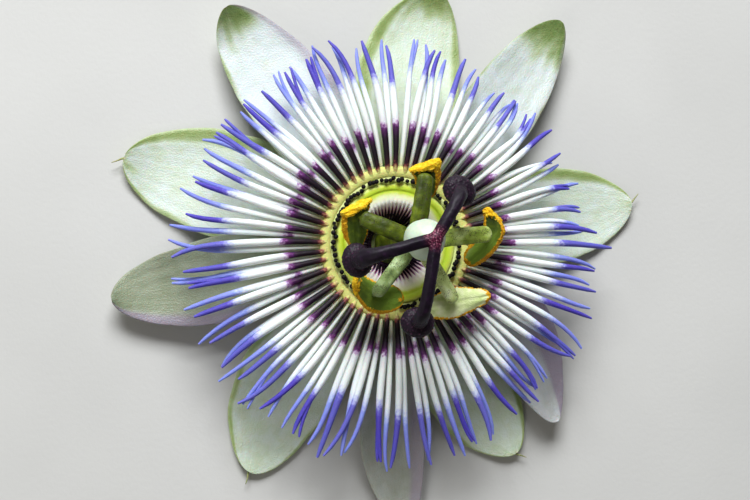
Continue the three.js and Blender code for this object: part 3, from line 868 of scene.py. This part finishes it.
def banded(name, stops, unstained):
    """Filament flesh: a satin skin of raised cells over white tissue, stained in soft-edged bands.
    unstained is the share of filaments whose inner part stays white."""
    skin = Skin(name, 0.52, glow=0.2, shine=0.3)
    band = skin.marked("band")
    shake = skin.remap(skin.cloud(0.5, 4), to_low=-0.16, to_high=0.16)
    colour = skin.ramp((band + shake) / 3.0, stops)
    wash = skin.remap(skin.marked("pallor"), to_high=0.22) * skin.remap(band, 1.9, 2.2)
    colour = skin.blend(wash, colour, "#9fb0ee")
    spared = (skin.marked("lot") < unstained) * skin.remap(band, 0.4, 0.6) * (band < 1.3)
    skin.dress(skin.blend(spared, colour, "#eaefe8"), skin.cells(0.2), 0.05)
    return skin


upper_flesh = banded("upper filament flesh", [
    (0.0, "#d2d47a"), (0.025, "#cdbb78"), (0.05, "#8f4f48"), (0.075, "#2e1120"),
    (0.14, "#140812"), (0.24, "#1a091b"), (0.29, "#3c1140"), (0.318, "#6b2c70"),
    (0.338, "#bd9dc4"), (0.356, "#e0e1e6"), (0.45, "#ecf1ec"), (0.6, "#e9eff0"),
    (0.65, "#bcc2ea"), (0.685, "#6e65c6"), (0.72, "#4f3eb0"), (0.9, "#4a3db0"), (1.0, "#5a4fbe"),
], 0.0)
lower_flesh = banded("lower filament flesh", [
    (0.0, "#d9de98"), (0.06, "#e6ebbe"), (0.14, "#f1f4e4"), (0.235, "#ebeaee"), (0.262, "#bf9cc4"),
    (0.285, "#74407c"), (0.308, "#a07aaa"), (0.332, "#dcdae2"), (0.4, "#ecf1ed"), (0.6, "#e8eef0"),
    (0.66, "#bdc8f0"), (0.7, "#8f9be6"), (0.8, "#7d84dc"), (1.0, "#7f8ae0"),
], 0.5)

filament_row = corona_growth()
for level, row, ring, flesh in (
    ("lower", LOWER_ROW, LOWER_RING, lower_flesh),
    ("upper", UPPER_ROW, UPPER_RING, upper_flesh),
):
    name = f"{level}_corona_filaments"
    piece = grow(name, filament_row, flesh, plain_mesh(name, *lathe(ring, 156)), **{
        **row, "Count": CORONA_COUNT, "Reach Spread": 1.5, "Sideways Spread": 1.7,
        "Lift Spread": 1.0,
    })
    settle(piece, flesh, "corona", f"corona_{level}_row")

# ------------ pali
# A ring of ninety short upright threads inside the long rows, each ending in a dark aubergine knob.
# They stand close together on a low ridge of the cup and are never quite in line.
PALI_COUNT, PALI_RADIUS, PALI_FOOT = 90, 10.6, 10.5
# The heights that the stain's colours run between, and how far apart the seeds of each draw are.
STAIN_FROM, STAIN_TO = 10.4, 11.6
PART_SEED_STEP = 31.0
PALUS_PROFILE = [
    (0, 0), (0.16, 0), (0.13, 0.5), (0.25, 0.76), (0.4, 1.02), (0.38, 1.32), (0.2, 1.48), (0, 1.5)
]
PALI_RIDGE = [
    (10.08, 9.7), (11.1, 9.7), (11.1, 10.85), (10.9, 10.92), (10.4, 10.9), (10.15, 10.8),
    (10.08, 10.6), (10.08, 9.7),
]


def ring_growth():
    """Stands many copies of a small part in a ring, each a little different."""
    ring = Growth(
        "ring of small parts", "Part",
        ["Radius", "Height", "Radius Spread", "Size Spread", "Tilt Spread", "Turn Spread"],
        ["Count", "Seed"],
    )
    given, index = ring.given, ring.add("GeometryNodeInputIndex")

    def chance(number, spread):
        return ring.random(-1.0, 1.0, PART_SEED_STEP * number, ID=index) * given[spread]

    heading = index / given["Count"] * math.tau + chance(1, "Turn Spread")
    radius = chance(2, "Radius Spread") + given["Radius"]
    cosine, sine = ring.direction(heading)
    spot = ring.add("ShaderNodeCombineXYZ", {
        "X": radius * cosine, "Y": radius * sine, "Z": given["Height"]})
    lean = ring.add("ShaderNodeCombineXYZ", {
        "X": chance(3, "Tilt Spread"), "Y": chance(4, "Tilt Spread"), "Z": heading})
    points = ring.add("GeometryNodePoints", {"Count": given["Count"], "Position": spot})
    parts = ring.add("GeometryNodeInstanceOnPoints", {
        "Points": points, "Instance": given["Part"],
        "Rotation": ring.add("FunctionNodeEulerToRotation", {"Euler": lean}),
        "Scale": chance(5, "Size Spread") + 1.0,
    })
    ring.hand_over(ring.add("GeometryNodeRealizeInstances", {"Geometry": parts}))
    return ring


# Aubergine knobs on greenish threads: the stain starts just below the knob, and is satin.
pali_flesh = Skin("aubergine knob flesh", 0.62, shine=0.2)
level = pali_flesh.add("ShaderNodeSeparateXYZ", {0: pali_flesh.place}, out="Z")
stain = pali_flesh.ramp(
    pali_flesh.remap(level, STAIN_FROM * MM, STAIN_TO * MM),
    [(0.0, "#cdd873"), (0.56, "#dfe7a4"), (0.68, "#2a1220"), (0.85, "#0b050b")],
)
pali_flesh.dress(stain, pali_flesh.cloud(0.25, 3), 0.08)

small_parts = ring_growth()
pali = grow("pali_ring", small_parts, pali_flesh, plain_mesh("palus", *lathe(PALUS_PROFILE, 7)), **{
    "Count": PALI_COUNT, "Radius": PALI_RADIUS, "Height": PALI_FOOT, "Radius Spread": 0.19,
    "Size Spread": 0.16, "Tilt Spread": 0.16, "Turn Spread": 0.02, "Seed": 3,
})
merge(pali, [shape("ridge", *lathe(PALI_RIDGE, 120))])
settle(pali, pali_flesh, "pali", "pali")

# ------------ nectar membrane
# Inside the pali a lime-green fold of the cup, the operculum, slopes down to close the nectar
# chamber. Its inner part is creamy, pleated, and ends in a fringe of fine purple-black teeth.
OPERCULUM_PROFILE = [
    (10.0, 9.7), (10.05, 10.7), (9.9, 11.05), (9.5, 11.2), (9.0, 11.15), (8.7, 10.98), (8.4, 11.0),
    (7.9, 11.0), (7.3, 10.95), (6.8, 10.8), (6.3, 10.42), (5.7, 9.75), (5.1, 8.85), (4.5, 7.85),
    (4.2, 7.3), (4.35, 7.1), (5.0, 7.7), (5.9, 8.5), (6.9, 9.3), (7.9, 9.7), (9.0, 9.72),
    (10.0, 9.7),
]
PLEATS, PLEAT_RISE = 60, 0.2
TEETH, TOOTH_START, TOOTH_HEIGHT = 60, 5.1, 8.9
TOOTH_RADII, TOOTH_FLATNESS = (0.13, 0.0325), 8 / 13
TOOTH_STOPS = [(0, 0, 0.0), (-0.6, 0, -0.5), (-1.2, 0, -1.1), (-1.7, 0, -1.9)]

# Thin moist membrane: lime outside, with a darker green line in its groove that is painted shade,
# cream on the slope and purple-black where it is pleated, with a pale line along the crest of each
# pleat.
membrane = Skin("moist nectar membrane", 0.4, glow=0.15, shine=0.25)
stripe, drift = membrane.marked("stripe"), membrane.cloud(1.3, 4)
shaken = membrane.marked("outward") + membrane.remap(drift, to_low=-0.35, to_high=0.35)
lime = membrane.ramp(membrane.remap(stripe * 0.55 + shaken, 3.5, 10.5), [
    (0.0, "#130812"), (0.22, "#200d22"), (0.3, "#7b3f70"), (0.35, "#dfc2cf"), (0.41, "#f8f1ee"),
    # the darker green at 0.735 lies in the groove of the lime fold and is painted shade
    (0.52, "#f8f8e4"), (0.62, "#eaf0b6"), (0.69, "#cbdd54"), (0.735, "#b2cd30"), (0.79, "#c0da3a"),
    (0.86, "#cfe052"), (0.93, "#dae684"), (1.0, "#ecf1c8"),
])
lined = membrane.blend(membrane.remap(stripe, 0.7, to_high=0.7), lime, "#ecdccb")
membrane.dress(lined, drift, 0.1)

points, faces = lathe(smooth_profile(OPERCULUM_PROFILE, 60), 432)
outwards, stripes = [], []
for point in points:
    radius, turn = math.hypot(point.x, point.y), math.atan2(point.y, point.x)
    wander = rough(math.cos(turn) * 3, math.sin(turn) * 3, 1.0)
    pleat = math.cos(PLEATS * turn + 0.5 * wander)
    point.z += PLEAT_RISE * pleat * ease((7.6 - radius) / 2.4) + 0.12 * wander
    outwards.append(radius)
    stripes.append(pleat * ease((7.0 - radius) / 1.0))
operculum = shape("nectar_membrane", points, faces)
mark(operculum.data, "outward", outwards)
mark(operculum.data, "stripe", stripes)

# the teeth: purple-black, each a thread flattened against its neighbours
points, faces, _ = sweep(TOOTH_STOPS, rod(*TOOTH_RADII, TOOTH_FLATNESS), 6, 6)
teeth = grow("teeth", small_parts, membrane, plain_mesh("tooth", points, faces), **{
    "Count": TEETH, "Radius": TOOTH_START, "Height": TOOTH_HEIGHT, "Radius Spread": 0.15,
    "Size Spread": 0.12, "Tilt Spread": 0.05, "Turn Spread": 0.03, "Seed": 5,
})
mark(teeth.data, "outward", [4.2] * len(teeth.data.vertices))
mark(teeth.data, "stripe", [0.0] * len(teeth.data.vertices))
merge(operculum, [teeth])
settle(operculum, membrane, "membrane", "operculum")

# The limen: a low ring that hugs the foot of the column, stained purple like the teeth round it.
LIMEN_PROFILE = [
    (3.2, 5.0), (4.1, 5.0), (4.12, 5.9), (4.0, 6.35), (3.8, 6.58), (3.5, 6.55), (3.25, 6.2),
    (3.2, 5.0),
]
points, faces = lathe(LIMEN_PROFILE, 80)
limen = shape("nectar_ring", points, faces)
mark(limen.data, "outward", [mix(3.6, 4.8, ease((point.z - 5) / 1.6)) for point in points])
mark(limen.data, "stripe", [0.0] * len(points))
settle(limen, membrane, "membrane", "limen")

# ------------ column
# The androgynophore: one firm green stem that stands in the middle of the cup, flecked with purple,
# and leans a little. It carries the stamens at its top and the ovary above them.
LEAN, LEAN_HEADING, LEAN_PIVOT = math.radians(7.5), math.radians(-5), Vector((0, 0, 8.0))
COLUMN_FOOT, COLUMN_TOP = 5.6, 20.6
COLUMN_PROFILE = [
    (2.3, COLUMN_FOOT), (2.4, 6.0), (2.2, 7.2), (1.95, 9.0), (1.82, 12), (1.8, 15.2), (1.85, 17.5),
    (2.0, 19.0), (2.15, 20.0), (2.0, 20.5),
]
COLUMN_FLUTES, FLUTE_DEPTH = 5, 0.09
LEAN_AXIS = Vector((-math.sin(LEAN_HEADING), math.cos(LEAN_HEADING), 0))
LEANING = Matrix.Rotation(LEAN, 3, LEAN_AXIS)


def leaning(point):
    """Where a point of the upright column goes when the column leans."""
    return LEAN_PIVOT + LEANING @ (Vector(point) - LEAN_PIVOT)


def stamen_green(name, shade, middle, light, specks):
    """Firm green tissue with a dull shine, sprinkled with tiny dark flecks."""
    skin = Skin(name, 0.45, glow=0.12, shine=0.25)
    body = skin.ramp(skin.cloud(2.2, 4), [(0.32, shade), (0.5, middle), (0.68, light)])
    size = skin.remap(skin.cloud(0.9, 5), 0.34, 0.6, 0.05, specks)
    flecked = skin.blend((skin.cells(0.17) < size) * 0.85, body, "#2b1d22")
    skin.dress(flecked, skin.cloud(0.35, 3), 0.06)
    return skin


# One flecked green tissue in four copies of different brightness, set stamen by stamen: the
# darkest, which the column also takes, is painted shade, the palest is painted light, and the other
# two lie between.
olive_in_painted_shade = stamen_green("flecked olive tissue", "#333e0a", "#48550c", "#67751a", 0.42)
moss_in_painted_half_light = stamen_green("flecked moss-green tissue", "#70822e", "#92a546", "#bfcd82", 0.44)
pale_green_in_painted_light = stamen_green("flecked pale green tissue", "#a3b468", "#c6d48c", "#e3ebbc", 0.42)
sage_in_painted_half_shade = stamen_green("flecked sage tissue", "#5a6c3c", "#7f9358", "#b2c690", 0.4)

fine_profile = [(0, COLUMN_FOOT), *smooth_profile(COLUMN_PROFILE, 40), (0, COLUMN_TOP)]
points, faces = lathe(fine_profile, 60)
for point in points:
    flute = 1 + FLUTE_DEPTH / 2 * math.cos(COLUMN_FLUTES * math.atan2(point.y, point.x))
    point.x, point.y = point.x * flute, point.y * flute
column = shape("leaning_column", [leaning(point) for point in points], faces)
settle(column, olive_in_painted_shade, "stamen", "androgynophore")

# ------------ ovary
# A smooth pale mint egg on top of the column, with three faint lobes, from which the styles rise.
OVARY_RADIUS, OVARY_HEIGHT, OVARY_FOOT = 3.3, 6.8, 20.9
OVARY_RINGS = 32

# Waxy ovary wall: a greenish-white bloom over green flesh, smooth enough to shine softly.
bloom = Skin("waxy ovary wall", 0.34, glow=0.3, depth=0.8)
cloud = bloom.cloud(2.4, 4)
bloom.dress(bloom.ramp(cloud, [(0.3, "#bfd0b4"), (0.5, "#ccdcc3"), (0.7, "#d8e5d2")]), cloud, 0.08)

profile = []
for k in range(OVARY_RINGS + 1):
    rise = (k / OVARY_RINGS - 0.5) * math.pi
    egg = 1 - 0.13 * math.sin(rise)
    radius = 0 if k in (0, OVARY_RINGS) else OVARY_RADIUS * math.cos(rise) ** 0.95 * egg
    profile.append((radius, OVARY_FOOT + OVARY_HEIGHT / 2 * (1 + math.sin(rise))))
points, faces = lathe(profile, 64)
for point in points:
    lobe = 1 + 0.07 * abs(math.sin(1.5 * math.atan2(point.y, point.x) + 0.4)) ** 0.6 - 0.045
    lobe += 0.012 * noise.noise(point / 1.7)
    point.x, point.y = point.x * lobe, point.y * lobe
ovary = shape("ovary_wall", [leaning(point) for point in points], faces)
settle(ovary, bloom, "ovary", "ovary")

# ------------ stamens
# Five flattened green filaments spread from the top of the column, like spokes. A narrow neck under
# the blunt tip of each one holds a boat-shaped anther by its middle, with its green back upwards.
# heading, length and drop place the filament, and stout scales its width. first, middle and second
# are where the anther runs, as (outwards, leftwards, upwards) from the filament's tip; facing says
# how its outer edge faces at both ends, widths gives its half widths at the three places, and
# closing how quickly each end rounds off.
# pollen: how far it wraps over the outer edge, the inner edge, the first end and the second end.
# back: how pale the back is at the first end and at the second; the paleness is partly painted
# light.
STAMEN_ROOT = leaning((0, 0, COLUMN_TOP - 0.95))
FILAMENT_HALF_WIDTH, FILAMENT_HALF_THICKNESS = 1.5, 0.7
ANTHER_HALF_THICKNESS = 0.7
STAMENS = [
    dict(heading=81, length=11.1, drop=0.0, flesh=olive_in_painted_shade, stout=1.0, back=(0.0, 0.15),
         first=(1.5, 0.3, -0.5), middle=(-0.4, -0.9, -1.85), second=(-3.3, -2.2, -4.4),
         facing=((0.49, -0.87, 0.1), (0.46, -0.89, 0.1)), widths=(2.45, 2.1, 1.3),
         closing=(0.05, 0.3), pollen=(0.5, 0.12, 0.22, 0.05)),
    dict(heading=158, length=9.8, drop=0.2, flesh=olive_in_painted_shade, stout=1.0, back=(0.0, 0.1),
         first=(1.0, -1.9, -0.7), middle=(0.2, 0.5, -1.85), second=(-2.0, 4.4, -4.2),
         facing=((0.66, 0.75, 0.1), (0.88, 0.46, 0.1)), widths=(2.5, 2.2, 1.7), closing=(0.05, 0.3),
         pollen=(0.3, 0.1, 0.2, 0.04)),
    dict(heading=233, length=11.1, drop=0.3, flesh=sage_in_painted_half_shade, stout=0.84, back=(0.1, 0.4),
         first=(-0.3, -4.3, -0.8), middle=(0.0, 0.2, -1.85), second=(-2.9, 4.5, -2.7),
         facing=((0.94, 0.33, 0), (0.81, 0.59, 0)), widths=(1.5, 2.4, 2.3), closing=(0.2, 0.32),
         pollen=(0.2, 0.1, 0.12, 0.05)),
    dict(heading=304, length=11.9, drop=0.5, flesh=pale_green_in_painted_light, stout=0.84, back=(1.0, 0.9),
         first=(-1.5, -4.1, -2.2), middle=(0.2, 0.2, -1.85), second=(2.5, 5.9, -1.4),
         facing=((0.81, -0.59, 0), (0.93, -0.37, 0)), widths=(1.6, 2.4, 1.1), closing=(0.06, 0.12),
         pollen=(0.09, 0.03, 0.03, 0.06)),
    dict(heading=6, length=12.8, drop=0.3, flesh=moss_in_painted_half_light, stout=1.0, back=(0.0, 0.5),
         first=(-0.2, 4.3, -0.9), middle=(0.9, 0.1, -1.85), second=(-3.6, -4.6, -4.0),
         facing=((0.97, 0.26, 0), (0.75, -0.66, 0)), widths=(0.7, 1.75, 2.1), closing=(0.35, 0.3),
         pollen=(0.42, 0.16, 0.18, 0.05)),
]
POLLEN_DENSITY, POLLEN_GRAIN = 20.0, 0.08
CREASE_DEPTH, FURROW_DEPTH = 0.28, 0.1
NECK_RADII = 0.62, 0.42


def fused(piece, voxel, rounds=2):
    """Melts the overlapping parts of a piece into one skin."""
    melt = piece.modifiers.new("melt", "REMESH")
    melt.mode, melt.voxel_size = "VOXEL", voxel * MM
    soften = piece.modifiers.new("soften", "SMOOTH")
    soften.factor, soften.iterations = 0.5, rounds
    applied(piece).shade_smooth()


def pollen_growth():
    """Scatters crumbs of pollen where an anther is marked with it."""
    dust = Growth("pollen crumbs", "Anther", ["Density", "Grain"], ["Seed"])
    given = dust.given
    spots = dust.add("GeometryNodeDistributePointsOnFaces", {
        "Mesh": given["Anther"], "Density": given["Density"] * dust.stored("pollen") ** 5.0,
        "Seed": given["Seed"],
    })
    crumbs = dust.add("GeometryNodeInstanceOnPoints", {
        "Points": spots, "Rotation": spots.beside("Rotation"), "Scale": dust.random(0.55, 1.45),
        "Instance": dust.add("GeometryNodeMeshIcoSphere", {
            "Radius": given["Grain"], "Subdivisions": 1}),
    })
    crumbs = dust.store(dust.add("GeometryNodeRealizeInstances", {"Geometry": crumbs}), pollen=1.0)
    dust.hand_over(dust.add("GeometryNodeJoinGeometry", {"Geometry": [crumbs, given["Anther"]]}))
    return dust


# Anther wall and pollen: a smooth green back, paler on some anthers than on others, the dark
# partly painted shade and the pale partly painted light, and crumbly pollen that is quite matt,
# yellow at one end and orange on the rims, the orange partly painted shade and the yellow partly
# painted light.
anther_skin = Skin("anther wall and pollen", 0.55, shine=0.25)
pollen, pale = anther_skin.marked("pollen"), anther_skin.marked("pale")
cloud, ripe = anther_skin.cloud(1.2, 5), anther_skin.cloud(0.7, 6, 0.7)
dark_back_and_painted_shade = anther_skin.ramp(cloud, [(0.3, "#28330a"), (0.5, "#3d4c0c"), (0.7, "#6a7416")])
pale_back_and_painted_light = anther_skin.ramp(cloud, [(0.3, "#cbdc90"), (0.5, "#e4efae"), (0.7, "#f2f6ca")])
back = anther_skin.blend(anther_skin.remap(pale, high=0.5), dark_back_and_painted_shade, "#86a838")
back = anther_skin.blend(anther_skin.remap(pale, low=0.5), back, pale_back_and_painted_light)
orange_and_painted_shade = anther_skin.ramp(
    ripe, [(0.3, "#b87208"), (0.45, "#dc980f"), (0.6, "#efb31e"), (0.75, "#f6cc4c")])
yellow_and_painted_light = anther_skin.ramp(
    ripe, [(0.3, "#c98a0a"), (0.42, "#eeb810"), (0.55, "#fbd423"), (0.7, "#ffe668")])
# yellow where the pollen mark is highest, at the first end, orange on the rims: the orange is
# partly painted shade and the yellow partly painted light
gold = anther_skin.blend(anther_skin.remap(pollen, 0.8, 0.95), orange_and_painted_shade, yellow_and_painted_light)
cover = anther_skin.remap(pollen + cloud * 0.3, 0.5, 0.66)
anther_skin.dress(anther_skin.blend(cover, back, gold), anther_skin.cells(0.16), 0.08)


def anther_parts(stamen, place_on_flower):
    """Points, faces, pollen and paleness of one anther."""
    tip = Vector((stamen["length"], 0, -stamen["drop"]))
    stops = [tip + Vector(stamen[part]) for part in ("first", "middle", "second")]
    rim_out, rim_in, first_end, second_end = stamen["pollen"]
    seed = stamen["heading"]
    # across is turned so that the back stays upwards: outwards, unless the anther runs leftwards
    outer_side = 1 if stamen["first"][1] > stamen["second"][1] else -1

    def across_at(t):
        facing = Vector(stamen["facing"][0]).lerp(Vector(stamen["facing"][1]), t)
        return outer_side * facing.normalized()

    def pollen_at(t, turn):
        w = math.cos(turn) * outer_side
        ragged = 0.07 * rough(t * 18, turn * 2, seed)
        ragged += 0.05 * rough(t * 45, w * 7, seed)
        below = -math.sin(turn) - 0.1
        rims = max(w - (1 - rim_out), -w - (1 - rim_in), t - (1 - second_end), below)
        end = ease((first_end * (1 + 0.4 * w) - t + 1.5 * ragged) / 0.06 + 0.5)
        return max(end, 0.8 * ease((rims + ragged) / 0.08 + 0.5))

    def outline(t, turn):
        first_half, middle_half, second_half = stamen["widths"]
        half_width = (mix(first_half, middle_half, ease(2 * t)) if t < 0.5
                      else mix(middle_half, second_half, ease(2 * t - 1)))
        share = 1.0
        for inside, length in zip((t, 1 - t), stamen["closing"]):
            if inside < length:
                share *= max(0.02, 1 - (1 - inside / length) ** 2) ** 0.5
        w, n = math.cos(turn), math.sin(turn)
        # pollen lies in heaps, higher where it is ripest
        heap, amount = 0.0, pollen_at(t, turn)
        if amount > 0.4:
            spot = Vector((t * 24, w * 5, n * 4 + seed))
            heap = 0.12 + 0.18 * noise.noise(spot) + 0.14 * noise.noise(spot * 2.3)
            heap += ease((amount - 0.8) / 0.2) * (0.16 + 0.3 * noise.noise(spot * 0.4))
        crease = CREASE_DEPTH * bell(w, 0.1) if n > 0 else 0
        sacs = 1.15 + 0.25 * abs(math.sin(math.pi * w)) if n < 0 else 0.75 - crease
        lumps = 0.12 * rough(t * 6, w * 3, seed * 1.7)
        across = w * (half_width * share + heap)
        above = n * (ANTHER_HALF_THICKNESS * sacs + heap) * max(share, 0.25) + lumps
        return across, above - 0.35 * w * w * share

    points, faces, spots = sweep(stops, outline, 72, 44, across_at)
    # paleness of the back, partly painted light
    pale = [mix(*stamen["back"], ease(1.6 * t - 0.4)) + 0.2 * abs(math.cos(turn)) ** 4
            for t, turn in spots]
    return [place_on_flower(p) for p in points], faces, [pollen_at(*spot) for spot in spots], pale


crumbling = pollen_growth()
for number, stamen in enumerate(STAMENS, 1):
    turn = turned(stamen["heading"])

    def on_flower(point):
        return STAMEN_ROOT + turn @ Vector(point)

    length, drop, seed = stamen["length"], stamen["drop"], stamen["heading"]

    def filament_outline(t, angle):
        blunt = 1 - max(0, (t - 0.9) / 0.1) ** 2.4
        share = max(0.1, blunt) ** 0.5 * (0.9 + 0.13 * ease(t * 4) - 0.14 * t)
        bumps = 0.07 * rough(t * 9, math.cos(angle) * 2, math.sin(angle) * 2 + seed)
        furrow = FURROW_DEPTH * bell(math.cos(angle), 0.3)
        across = (FILAMENT_HALF_WIDTH * stamen["stout"] + bumps) * share * math.cos(angle)
        return across, (FILAMENT_HALF_THICKNESS - furrow + bumps) * share * math.sin(angle)

    stem_stops = [(1.2, 0, 0), (length * 0.55, 0, 0.3), (length, 0, -drop)]
    neck_stops = [(length - 1.1, 0, -drop - 0.2), (length - 0.5, 0, -drop - 0.8),
                  (length - 0.3, 0, -drop - 1.9)]
    stem = sweep(stem_stops, filament_outline, 60, 28)
    neck = sweep(neck_stops, rod(*NECK_RADII), 10, 12)
    filament = joined(
        f"green_filament_{number}",
        *[([on_flower(point) for point in part[0]], part[1]) for part in (stem, neck)],
    )
    fused(filament, 0.1)
    settle(filament, stamen["flesh"], "stamen", f"stamen_filament_{number}")

    points, faces, pollen_marks, pale_marks = anther_parts(stamen, on_flower)
    name = f"ripe_anther_{number}"
    bare = plain_mesh(name, points, faces)
    mark(bare, "pollen", pollen_marks)
    mark(bare, "pale", pale_marks)
    anther = grow(name, crumbling, anther_skin, bare, **{
        "Density": POLLEN_DENSITY, "Grain": POLLEN_GRAIN, "Seed": number})
    settle(anther, anther_skin, "anther", f"anther_{number}")

# ------------ styles
# Three stout styles leave one root on top of the ovary, spread sideways and hook down into large
# cap-shaped stigmas. All are nearly black purple, crimson at the root and pebbled on the stigmas.
STYLE_ROOT = leaning((0, 0, OVARY_FOOT + OVARY_HEIGHT + 1.3))
STYLES = [
    dict(heading=59, reach=9.1, drop=3.8, flare=0.25),
    dict(heading=196, reach=12.1, drop=4.8, flare=0.5),
    dict(heading=262, reach=13.2, drop=5.2, flare=0.25),
]
STYLE_RADIUS = 0.95
STIGMA_SIZE = Vector((2.45, 2.8, 1.15))
# The size and height of a pebble, how far pebbles reach from a stigma's middle, and how far the
# crimson reaches from the root.
PEBBLE, PEBBLE_RISE, PEBBLES_REACH = 0.5, 0.17, 3.4
BLUSH_REACH = 2.7


def stretched(point, size):
    return Vector([c * s for c, s in zip(point, size)])


def ball(centre, size):
    """Points and faces of a closed ball stretched to `size`."""
    grid = bmesh.new()
    bmesh.ops.create_icosphere(grid, subdivisions=4, radius=1.0)
    points = [Vector(centre) + stretched(v.co, size) for v in grid.verts]
    faces = [[v.index for v in face.verts] for face in grid.faces]
    grid.free()
    return points, faces


parts = [ball(STYLE_ROOT, (1.2, 1.2, 1.0)), ball(STYLE_ROOT - Vector((0, 0, 1.1)), (1.1, 1.1, 1.0))]
stigmas = []
for style in STYLES:
    seed, spin = math.radians(style["heading"]), turned(style["heading"])
    reach, drop = style["reach"], style["drop"]

    def style_outline(t, angle):
        radius = STYLE_RADIUS * (0.94 + style["flare"] * ease((t - 0.3) / 0.7))
        radius *= 1 + 0.14 * rough(t * 5, 1.6 * math.cos(angle), seed + math.sin(angle))
        ridge = 0.12 * bell(angle - math.pi * 0.6, 0.35)
        return radius * 1.12 * math.cos(angle), radius * (0.88 + ridge) * math.sin(angle)

    stops = [(0, 0, 0), (reach * 0.45, 0, 0.1), (reach * 0.85, 0, -drop * 0.25),
             (reach + 0.2, 0, -drop * 0.85)]
    points, faces, _ = sweep(stops, style_outline, 30, 20)
    parts.append(([STYLE_ROOT + spin @ point for point in points], faces))
    centre = STYLE_ROOT + spin @ Vector((reach, 0, -drop))
    stigmas.append(centre)
    points, faces = ball((0, 0, 0), (1, 1, 1))
    for point in points:
        across = math.hypot(point.x, point.y)
        point.z *= 1 + 0.25 * bell(across - 0.66, 0.3) - 0.2 * bell(across, 0.4)
    parts.append(([centre + spin @ stretched(point, STIGMA_SIZE) for point in points], faces))
styles = joined("styles_and_stigmas", *parts)
fused(styles, 0.11, 4)

# pebbles on the stigmas, and where each tint of purple lies
pebbled, crimson, moved = [], [], []
for place, outwards in [(v.co.copy(), v.normal.copy()) for v in styles.data.vertices]:
    spot = (place - AXIS) / MM
    near = min((spot - centre).length for centre in stigmas)
    amount = ease((PEBBLES_REACH - near) / 0.8)
    first, second = noise.voronoi(spot / PEBBLE)[0][:2]
    moved.extend(place + outwards * MM * amount * PEBBLE_RISE * (second - first - 0.3))
    pebbled.append(amount * min(1.0, second - first))
    crimson.append(ease((BLUSH_REACH - (spot - STYLE_ROOT).length) / 2.0))
styles.data.vertices.foreach_set("co", moved)
mark(styles.data, "pebbled", pebbled)
mark(styles.data, "crimson", crimson)

# Purple-black style tissue: smooth and satin on the arms, crimson-mottled at the root, with
# pinkish tops on the stigma's pebbles.
style_flesh = Skin("purple-black style flesh", 0.5, shine=0.24)
pebble, cloud = style_flesh.marked("pebbled"), style_flesh.cloud(0.9, 6)
dark = style_flesh.ramp(cloud, [(0.3, "#0b040d"), (0.55, "#150819"), (0.75, "#29112c")])
tops = style_flesh.ramp(pebble, [(0.0, "#100612"), (0.35, "#210d20"), (0.8, "#4b233c")])
arm = style_flesh.blend(style_flesh.remap(pebble, high=0.15), dark, tops)
mottle = style_flesh.ramp(
    style_flesh.cloud(0.3, 4),
    [(0.36, "#220818"), (0.48, "#4a0f29"), (0.57, "#762b48"), (0.7, "#c18c98")],
)
style_flesh.dress(style_flesh.blend(style_flesh.marked("crimson"), arm, mottle), cloud, 0.1)
settle(styles, style_flesh, "style", "styles")
